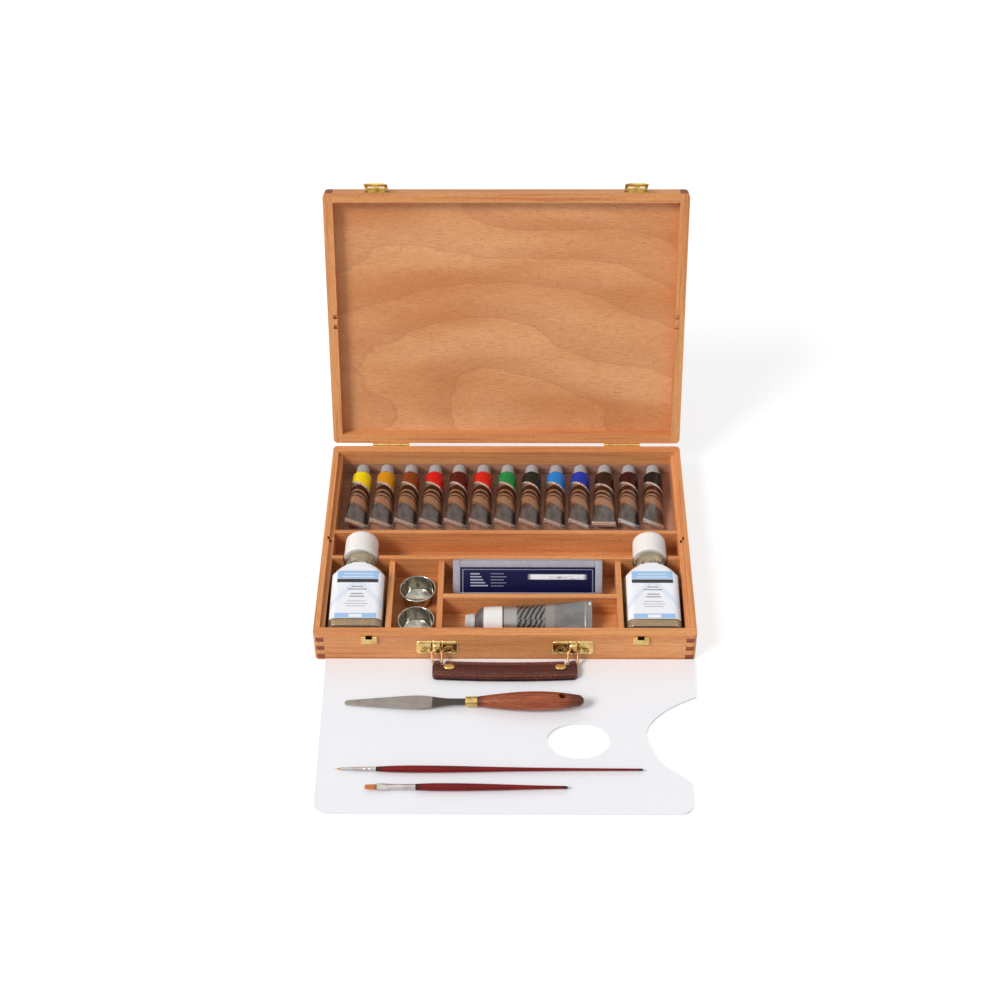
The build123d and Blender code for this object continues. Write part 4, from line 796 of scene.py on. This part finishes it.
def flask_ring(wide, thick, corner, z, count=around_flask):
    # a rounded oblong, its points spread evenly, starting in the middle of the underside
    corner = min(corner, wide / 2, thick / 2)
    straight, rise, bend = wide / 2 - corner, thick / 2 - corner, pi / 2 * corner
    total = 4 * (straight + rise + bend)
    ring = []
    for j in range(count):
        s, flip_x, flip_y = j * total / count % total, 1, 1
        if s > total / 2:
            s, flip_x = total - s, -1
        if s > total / 4:
            s, flip_y = total / 2 - s, -1
        if s <= straight:
            x, y = s, thick / 2
        elif s <= straight + bend:
            t = (s - straight) / corner if corner else 0
            x, y = straight + corner * sin(t), rise + corner * cos(t)
        else:
            x, y = wide / 2, rise - (s - straight - bend)
        ring.append((flip_x * x, -flip_y * y, z))
    return ring


def flask_size(z, wall=0.0):
    # width, thickness and corner of the flask at a height from its base
    if z <= glass_body:
        drop = max(0.0, 1 - z / heel) ** 2 * heel * 0.7
        inset = 2 * (wall + drop)
        return glass_wide - inset, glass_thick - inset, max(glass_corner - wall - drop, 2.0)
    share = min(1.0, (z - glass_body) / glass_shoulder)
    ease = share ** 1.35 * (1 - 0.25 * sin(pi * share))
    wide = glass_wide + (2 * neck_wide - glass_wide) * ease
    thick = glass_thick + (2 * neck_wide - glass_thick) * ease
    corner = glass_corner + (neck_wide - glass_corner) * share ** 0.7
    return wide - 2 * wall, thick - 2 * wall, min(corner, thick / 2) - wall


glass = finish("glass", Base_Color=rgb(240, 234, 214), Transmission_Weight=0.92, IOR=1.45)
tree = glass.node_tree
ripple = cloudy(tree, where(tree), (60, 60, 30), 12, 2)
join(glass, Roughness=sums(tree, "MULTIPLY", ripple, 0.04),
     Normal=bumped(tree, ripple, 0.0004, 0.3))
medium = finish("medium", IOR=1.33, Transmission_Weight=0.2, Roughness=0.12)
tree = medium.node_tree
murk = cloudy(tree, where(tree), (40, 40, 40), 13, 3)
join(medium, Base_Color=mixed(tree, murk, rgb(222, 180, 118), rgb(196, 150, 90)))
paper = finish("paper_label", Roughness=0.38, Specular_IOR_Level=0.45)
tree = paper.node_tree
side, down = print_spots(tree)
spot = where(tree)
weave = cloudy(tree, spot, (700, 700, 700), 14, 3)
colour = mixed(tree, between(tree, weave, 0.3, 0.8), label_white, rgb(234, 236, 244))
fold = sums(tree, "ADD", sums(tree, "ABSOLUTE", side), sums(tree, "MULTIPLY", down, 0.8))
fold = sums(tree, "MULTIPLY", stripe(tree, fold, 46, 53, 0.4), 0.25)
colour = mixed(tree, fold, colour, label_blue)


def label_band(colour, low, high, ink, half=22.0, share=1.0):
    # a printed bar across the label, from low to high above the foot
    here = stripe(tree, side, -half, half, 0.15)
    here = sums(tree, "MULTIPLY", here, stripe(tree, down, low, high, 0.15))
    return mixed(tree, sums(tree, "MULTIPLY", here, share), colour, ink)


colour = label_band(colour, 63.6, 74.6, label_blue)
colour = label_band(colour, 58.4, 63.2, rgb(44, 44, 48))
colour = label_band(colour, 10.6, 16.8, label_blue)
colour = label_band(colour, 11.4, 15.4, label_white, 7.0)
for low, half, share in ((69.8, 15.0, 0.8), (66.0, 17.0, 0.8)):
    colour = label_band(colour, low, low + 1.0, label_white, half, share)
for low, half in ((52.0, 6.0), (48.4, 10.0), (42.2, 6.5), (38.6, 8.0)):
    colour = label_band(colour, low, low + 1.5, rgb(86, 88, 100), half, 0.75)
for low, half in ((32.6, 10.0), (29.2, 12.0), (25.8, 10.0)):
    colour = label_band(colour, low, low + 0.8, rgb(96, 98, 110), half, 0.7)
join(paper, Base_Color=colour, Normal=bumped(tree, weave, 0.00005, 0.4))
white_cap = finish("white_cap", Roughness=0.36, Subsurface_Weight=0.15, Subsurface_Scale=0.003)
mottled(white_cap, rgb(244, 243, 240), rgb(232, 231, 228), (260, 260, 260), 15, 0.0001, 0.3)

shoulder_steps = [glass_body + glass_shoulder * i / 10 for i in range(1, 11)]
outer_heights = [0.0, 0.4, 1.2, 2.2, 3.5, 8, 20, 40, 60, 70, glass_body] + shoulder_steps
inner_heights = [glass_foot, 3.4, 5.0, 8, 20, 40, 60, 70, glass_body] + shoulder_steps
neck, bore = glass_body + glass_shoulder, mouth_radius - glass_wall
mouth = neck + glass_neck + mouth_length


def hollow_ring(z, room=0.0, rise=0.0):
    # the inside of the flask at a height, never narrower than its bore
    wide, thick, corner = flask_size(z, glass_wall)
    return flask_ring(max(wide, 2 * bore) - room, max(thick, 2 * bore) - room, max(corner, 2),
                      z + rise)


up = Vector((0, cos(bottle_tilt), sin(bottle_tilt)))
for place in ("left", "right"):
    low, high = corners(f"bottle_{place}")
    heel_y = -inner_half_depth + front_room - glass_thick / 2 * sin(bottle_tilt)
    heel_z = ply_top + rest_gap + glass_thick / 2 * cos(bottle_tilt)
    # the flask's own frame: its height runs along the box, its front faces up
    at = laid(Vector(((low.x + high.x) / 2, heel_y, heel_z)), Vector((-1, 0, 0)), up)
    outer = [flask_ring(*flask_size(z), z) for z in outer_heights]
    outer += [flask_ring(2 * r, 2 * r, r, neck + z) for z, r in neck_beads]
    outer.append(flask_ring(2 * mouth_radius, 2 * mouth_radius, mouth_radius, mouth))
    inner = [flask_ring(2 * bore, 2 * bore, bore, z) for z in (mouth, neck + 12, neck + 2)]
    inner += [hollow_ring(z) for z in reversed(inner_heights)]
    mesh = skin(f"flask_{place}", outer + inner)
    add(f"flask_{place}", mesh, glass, f"bottle_{place}", (f"bottle_{place}",), at,
        angle=50)
    filled = [hollow_ring(z, fill_room, 0.05 if z == glass_foot else 0) for z in inner_heights]
    add(f"medium_{place}", skin(f"medium_{place}", filled), medium, f"bottle_{place}", (),
        at)
    rows = [label_low + (label_high - label_low) * i / (label_rows - 1) for i in range(label_rows)]
    verts, faces = [], []
    first, final = around_flask // 2 - label_half, around_flask // 2 + label_half
    for z in rows:
        wide, thick, corner = flask_size(z)
        room = 2 * paper_lift
        ring = flask_ring(wide + room, thick + room, corner + paper_lift, z)
        verts += ring[first:final + 1]
    for quad in grid_faces(label_rows, final - first + 1):
        reach = sum(abs(verts[v][0]) for v in quad) / 4
        arch = label_high - arch_drop * (reach / arch_half) ** arch_power
        if sum(verts[v][2] for v in quad) / 4 <= arch:
            faces.append(quad)
    mesh = shape(f"label_{place}", verts, faces)
    layer = mesh.uv_layers.new(name="print")
    layer.data.foreach_set("uv", [verts[v][i] * mm for quad in faces for v in quad for i in (0, 2)])
    add(f"label_{place}", mesh, paper, f"bottle_{place}", (), at, angle=0)
    mesh = cap_skin(f"white_cap_{place}", plastic_radius, plastic_radius - plastic_taper,
                    plastic_length, plastic_ribs, 0.35, 0.0)
    cap_at = at @ Matrix.Translation(Vector((0, 0, neck + glass_neck + plastic_gap)) * mm)
    add(f"screw_cap_{place}", mesh, white_cap, f"cap_{place}",
        (f"bottle_cap_{place}",), cap_at)

# Dipper cups: two small bowls spun from tinned sheet, polished, each with a rolled rim. They stand
# loose in their bays.
tin = metal("polished_tin", rgb(196, 192, 182), rgb(112, 104, 94), 0.05, (300, 300, 1800))
cup_profile = [(0, 0.0), (13.5, 0.0), (15.0, 0.4), (15.6, 1.4), (18.75, 16.2)]
bead_out, bead_high, bead, around_cup = 18.9, 16.7, 1.05, 96
for t in range(-130, 151, 20):
    cup_profile.append((bead_out + bead * cos(radians(t)), bead_high + bead * sin(radians(t))))
cup_profile += [(17.95, 16.0), (17.2, 12.0), (15.0, 2.2), (14.2, 1.2), (12.6, 0.8), (12.2, 1.1),
                (11.8, 0.8), (0, 0.8)]
for name in ("cup_back", "cup_front"):
    low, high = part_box(name)
    rings = [oval(max(r, 0.01), max(r, 0.01), z, around_cup) for r, z in cup_profile]
    at = Matrix.Translation(((low[0] + high[0]) / 2, (low[1] + high[1]) / 2, low[2]))
    add(name + "_tin", skin(name, rings), tin, name, (name,), at, angle=40)

# Charcoal case: a clear hinged plastic case of charcoal sticks, leaning back on the brush divider,
# with a dark blue card behind its face that leaves a pale frame.
case_length, case_high, case_deep, case_lean, case_round = 161.5, 36.0, 15.0, radians(52), 0.9
frame_side, frame_top, frame_low, case_wall, lip_deep, top_deep = 8.0, 7.5, 1.2, 2.0, 1.4, 2.6
card_skin, card_thick, card_round = 0.5, 1.0, 0.2
stick_radius, stick_wear, stick_bend = 2.8, 0.35, 0.4
stick_from_top, stick_pitch, stick_y = 3.6, 6.6, -7.6
low, high = corners("charcoal_case")
start = Vector(((low.x + high.x) / 2, low.y + case_deep * sin(case_lean), ply_top + rest_gap))
at = laid(start, Vector((1, 0, 0)), Vector((0, cos(case_lean), sin(case_lean))))


def block(name, low, high, round_by):
    # a plain oblong with softly rounded edges, as a moulded or cut piece has
    points = [(x, y, z) for x in (low[0], high[0]) for y in (low[1], high[1])
              for z in (low[2], high[2])]
    sides = [(0, 1, 3, 2), (4, 6, 7, 5), (0, 4, 5, 1), (2, 3, 7, 6), (0, 2, 6, 4), (1, 5, 7, 3)]
    return worked(shape(name, points, sides), ("BEVEL", {"width": round_by * mm, "segments": 3}))


case_clear = finish("case_clear", Roughness=0.16, IOR=1.49, Specular_IOR_Level=0.6, Coat_Weight=0.4)
mottled(case_clear, rgb(178, 177, 188), rgb(146, 145, 158), (120, 400, 120), 16, 0.0002, 0.4)
card = finish("case_card", Roughness=0.5, Specular_IOR_Level=0.15, Coat_Weight=0.06)
tree = card.node_tree
spot = where(tree)
axes = node(tree, "SeparateXYZ", spot).outputs
side, rise = (sums(tree, "MULTIPLY", axes[axis], 1 / mm) for axis in "XZ")
grain = cloudy(tree, spot, (500, 500, 500), 17, 2)
colour = mixed(tree, between(tree, grain, 0.3, 0.8), rgb(4, 4, 52), rgb(8, 8, 66))
smear = cloudy(tree, spot, (60, 60, 900), 18, 3, 0.7)


def card_mark(colour, x0, x1, z0, z1, ink, share=1.0):
    # a bar painted on the card, from corner to corner: print, and also a painted highlight
    here = stripe(tree, side, x0, x1, 0.15)
    here = sums(tree, "MULTIPLY", here, stripe(tree, rise, z0, z1, 0.12))
    return mixed(tree, sums(tree, "MULTIPLY", here, share), colour, ink)


for z0, half in ((20.8, 0), (17.6, 2), (14.4, 4), (11.2, 6), (8.0, 9)):
    colour = card_mark(colour, -62, -52 + half, z0, z0 + 1.3, rgb(196, 202, 220), 0.75)
for i in range(5):
    colour = card_mark(colour, -40, -26 + (i % 2) * 3, 21.2 - i * 3.3, 21.9 - i * 3.3,
                       rgb(168, 170, 196), 0.7)
chalk_here = stripe(tree, side, 2, 62, 3.0)
chalk_here = sums(tree, "MULTIPLY", chalk_here, stripe(tree, rise, 15.5, 21.0, 0.7))
chalk_here = sums(tree, "MULTIPLY", chalk_here, between(tree, smear, 0.30, 0.42))
colour = mixed(tree, chalk_here, colour, rgb(236, 238, 244))
# light lines on three sides just inside the frame: a painted highlight of the clear frame's inner
# edge, not print
for x0, x1, z0 in ((-70.6, -69.6, 0), (69.6, 70.6, 0), (-69.6, 69.6, 25.8)):
    colour = card_mark(colour, x0, x1, z0, 26.6, rgb(150, 152, 176), 0.8)
join(card, Base_Color=colour, Normal=bumped(tree, grain, 0.00003, 0.3))
# the case's own frame: x along it, y from its face to its back at 0, z up its height
half = case_length / 2
inner = half - frame_side
card_top = case_high - frame_top
pieces = (
    ("case_back_wall", (-half, -case_wall, 0), (half, 0, case_high)),
    ("case_foot_wall", (-half, -case_deep, 0), (half, -case_wall, frame_low)),
    ("case_left_wall", (-half, -case_deep, frame_low), (-inner, -case_wall, case_high)),
    ("case_right_wall", (inner, -case_deep, frame_low), (half, -case_wall, case_high)),
    ("case_top_wall", (-inner, -case_deep, card_top), (inner, top_deep - case_deep, case_high)),
    ("case_lip", (-inner, -case_wall - lip_deep, case_high - case_wall),
     (inner, -case_wall, case_high)))
for name, a, b in pieces:
    stands = ("charcoal_case",) if name == "case_back_wall" else ()
    add(name, block(name, a, b, case_round), case_clear, "charcoal_case", stands,
        at, angle=30)
card_y = card_skin - case_deep
mesh = block("case_card", (-inner, card_y, frame_low), (inner, card_y + card_thick, card_top),
             card_round)
add("case_card", mesh, card, "charcoal_case", (), at, angle=30)
coal = mottled(finish("charcoal", Roughness=0.85), rgb(22, 20, 22), rgb(58, 54, 56),
               (300, 900, 900), 22, 0.0005, 0.8, 4, 0.7)
for number in range(4):
    z = case_high - stick_from_top - stick_pitch * number
    rings = []
    for i in range(25):
        x = 1 - inner + 2 * (inner - 1) * i / 24
        r = stick_radius + stick_wear * chance.noise(Vector((x * 0.08, number * 9.1, 0)))
        off = stick_bend * chance.noise(Vector((x * 0.05, number * 5.3, 4)))
        turns = [2 * pi * j / 14 for j in range(14)]
        rings.append([(x, stick_y + off + r * cos(t), z + off + r * sin(t)) for t in turns])
    add(f"charcoal_stick_{number + 1}", skin(f"stick_{number}", rings), coal, "charcoal_case",
        (), at)

# Palette: a sheet of white moulded plastic, cut with a thumb hole and a bay for the fingers. It
# slides out from the box and lies flat in front of it.
palette_white = finish("palette_white", Roughness=0.34, Specular_IOR_Level=0.5)
tree = palette_white.node_tree
haze = cloudy(tree, where(tree), (18, 18, 18), 24, 3)
speck = cloudy(tree, where(tree), (900, 900, 900), 25, 2)
join(palette_white, Base_Color=mixed(tree, haze, rgb(246, 247, 252), rgb(241, 242, 249)),
     Normal=bumped(tree, speck, 0.00004, 0.4))
dress("palette", palette_white)

# Palette knife: a ground and polished spring steel blade, a brass ferrule and a lacquered hardwood
# handle with a hanging hole and darker ends.
steel = metal("blade_steel", rgb(164, 156, 148), rgb(148, 140, 132), 0.24, (40, 1600, 1600))
knife_turn, knife_rise, shank_from = radians(-1.5), radians(2.7), 0.09
tip_x, tip_down, tip_z = -164.0, 62.1, 4.2
blade_half, bevel_half, edge_half, bevel_wide = 0.6, 0.5, 0.12, 0.35
tip = Vector((tip_x, corners("palette")[1].y - tip_down, tip_z))
at = Matrix.Rotation(knife_turn, 4, "Z") @ Matrix.Rotation(-knife_rise, 4, "Y")
at = Matrix.Translation(tip * mm) @ at
blade_outline = ((0.0, 0.6), (0.6, 2.2), (2.0, 3.1), (5.0, 3.6), (20, 4.9), (40, 6.6), (58, 8.2),
                 (70, 8.9), (78, 8.9), (86, 8.0), (94, 6.3), (102, 5.0), (110, 4.4), (126, 4.3))
rings = []
for x, half_wide in blade_outline:
    flat = half_wide - bevel_wide
    upper = [(half_wide, edge_half), (flat, bevel_half), (0, blade_half), (-flat, bevel_half),
             (-half_wide, edge_half)]
    around = [(half_wide, -edge_half)] + upper + [(y, -z) for y, z in upper[:0:-1]]
    rings.append([(x, y, z) for y, z in around])
tree = steel.node_tree
along_blade = node(tree, "SeparateXYZ", where(tree)).outputs["X"]
shank_here = between(tree, along_blade, shank_from - 0.0005, shank_from + 0.0005)
join(steel, Base_Color=mixed(tree, shank_here, colour_of(steel), rgb(84, 78, 72)))
add("blade_steel", skin("blade_steel", rings), steel, "knife", ("knife_blade",), at,
    angle=30)
dress("knife_ferrule", metal("ferrule_brass", rgb(226, 196, 124), rgb(178, 140, 74), 0.2))
handle_wood = finish("knife_wood", Coat_Weight=0.3, Coat_Roughness=0.1, Roughness=0.4,
                     Specular_IOR_Level=0.25)
tree = handle_wood.node_tree
spot = where(tree)
low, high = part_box("knife_handle")
axes = node(tree, "SeparateXYZ", spot).outputs
streak = cloudy(tree, spot, (28, 700, 700), 26, 4, 0.7)
pore = cloudy(tree, spot, (170, 2600, 2600), 27, 2)
colour = mixed(tree, between(tree, streak, 0.3, 0.72), rgb(176, 92, 50), rgb(116, 48, 24))
colour = tinted(tree, colour, pore, 0.55, 0.68, 0.6, rgb(66, 26, 16))
butt = between(tree, axes["X"], high[0] - 0.030, high[0] - 0.006)
neck = sums(tree, "SUBTRACT", 1.0, between(tree, axes["X"], low[0] + 0.001, low[0] + 0.010))
dark_end = sums(tree, "ADD", butt, neck)
colour = mixed(tree, sums(tree, "MULTIPLY", dark_end, 0.8), colour, rgb(70, 20, 12))
join(handle_wood, Base_Color=colour, Normal=bumped(tree, pore, 0.00012, 0.5))
dress("knife_handle", handle_wood)

# Brushes: turned handles in dark red lacquer with darker tips, nickel plated crimped ferrules and
# orange tan synthetic hair, a pointed round one and a short flat one.
nickel = metal("nickel", rgb(212, 208, 204), rgb(188, 182, 178), 0.14, (500, 500, 500))
hair_colours = (rgb(206, 122, 62), rgb(232, 168, 104), rgb(150, 74, 34))
strand_steps = ((0.0, 0.12), (0.5, 0.11), (0.85, 0.07), (1.0, 0.015))
strand_room, golden_turn = 0.15, 2.39996
hair_finish = finish("brush_hair", Roughness=0.45, Specular_IOR_Level=0.5)
tree = hair_finish.node_tree
spot = where(tree)
shade = cloudy(tree, spot, (120, 3000, 3000), 28, 2)
colour = mixed(tree, between(tree, shade, 0.35, 0.7), hair_colours[0], hair_colours[1])
deep = sums(tree, "MULTIPLY", between(tree, shade, 0.6, 0.8), 0.5)
join(hair_finish, Base_Color=mixed(tree, deep, colour, hair_colours[2]))
for brush_name, pointed, strands in (("long_brush", True, 150), ("short_brush", False, 260)):
    lacquer = finish(brush_name + "_lacquer", Coat_Weight=0.2, Coat_Roughness=0.05, Roughness=0.35,
                     Specular_IOR_Level=0.2)
    tree = lacquer.node_tree
    low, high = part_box(brush_name + "_handle")
    axes = node(tree, "SeparateXYZ", where(tree)).outputs
    depth = cloudy(tree, where(tree), (20, 500, 500), 29, 3)
    colour = mixed(tree, between(tree, depth, 0.3, 0.75), rgb(128, 6, 8), rgb(88, 2, 6))
    tip = between(tree, axes["X"], high[0] - 0.007, high[0] - 0.004)
    neck = sums(tree, "SUBTRACT", 1.0, between(tree, axes["X"], low[0] + 0.002, low[0] + 0.008))
    dark_end = sums(tree, "MULTIPLY", sums(tree, "ADD", tip, neck), 0.85)
    colour = mixed(tree, dark_end, colour, rgb(34, 6, 8))
    join(lacquer, Base_Color=colour, Normal=bumped(tree, depth, 0.00005, 0.3))
    dress(brush_name + "_handle", lacquer)
    dress(brush_name + "_ferrule", nickel)
    low, high = corners(brush_name + "_hair")
    middle = (low + high) / 2
    length, wide, thick = high.x - low.x, (high.y - low.y) / 2, (high.z - low.z) / 2
    verts, faces = [], []
    for i in range(strands):
        r, t = ((i + 0.5) / strands) ** 0.5, i * golden_turn
        y, z = r * cos(t) * (wide - strand_room), r * sin(t) * (thick - strand_room)
        reach = length * (1 - (0.35 * r * r if pointed else 0.06 * (1 + sin(i * 1.7))))
        gather = 0.35 if pointed else 0.9
        for share, size in strand_steps:
            x, pull = high.x - reach * share, 1 - (1 - gather) * share ** 2
            for a, b in ((1, 0), (0, 1), (-1, 0), (0, -1)):
                verts.append((x, middle.y + y * pull + a * size, middle.z + z * pull + b * size))
        base = 16 * i
        for k in range(3):
            for c in range(4):
                p, q = base + 4 * k + c, base + 4 * k + (c + 1) % 4
                faces.append((p, q, q + 4, p + 4))
        faces.append((base + 3, base + 2, base + 1, base))
        faces.append((base + 12, base + 13, base + 14, base + 15))
    mesh = shape(brush_name + "_hair", verts, faces)
    add(brush_name + "_strands", mesh, hair_finish, brush_name,
        (brush_name + "_hair",), angle=0)
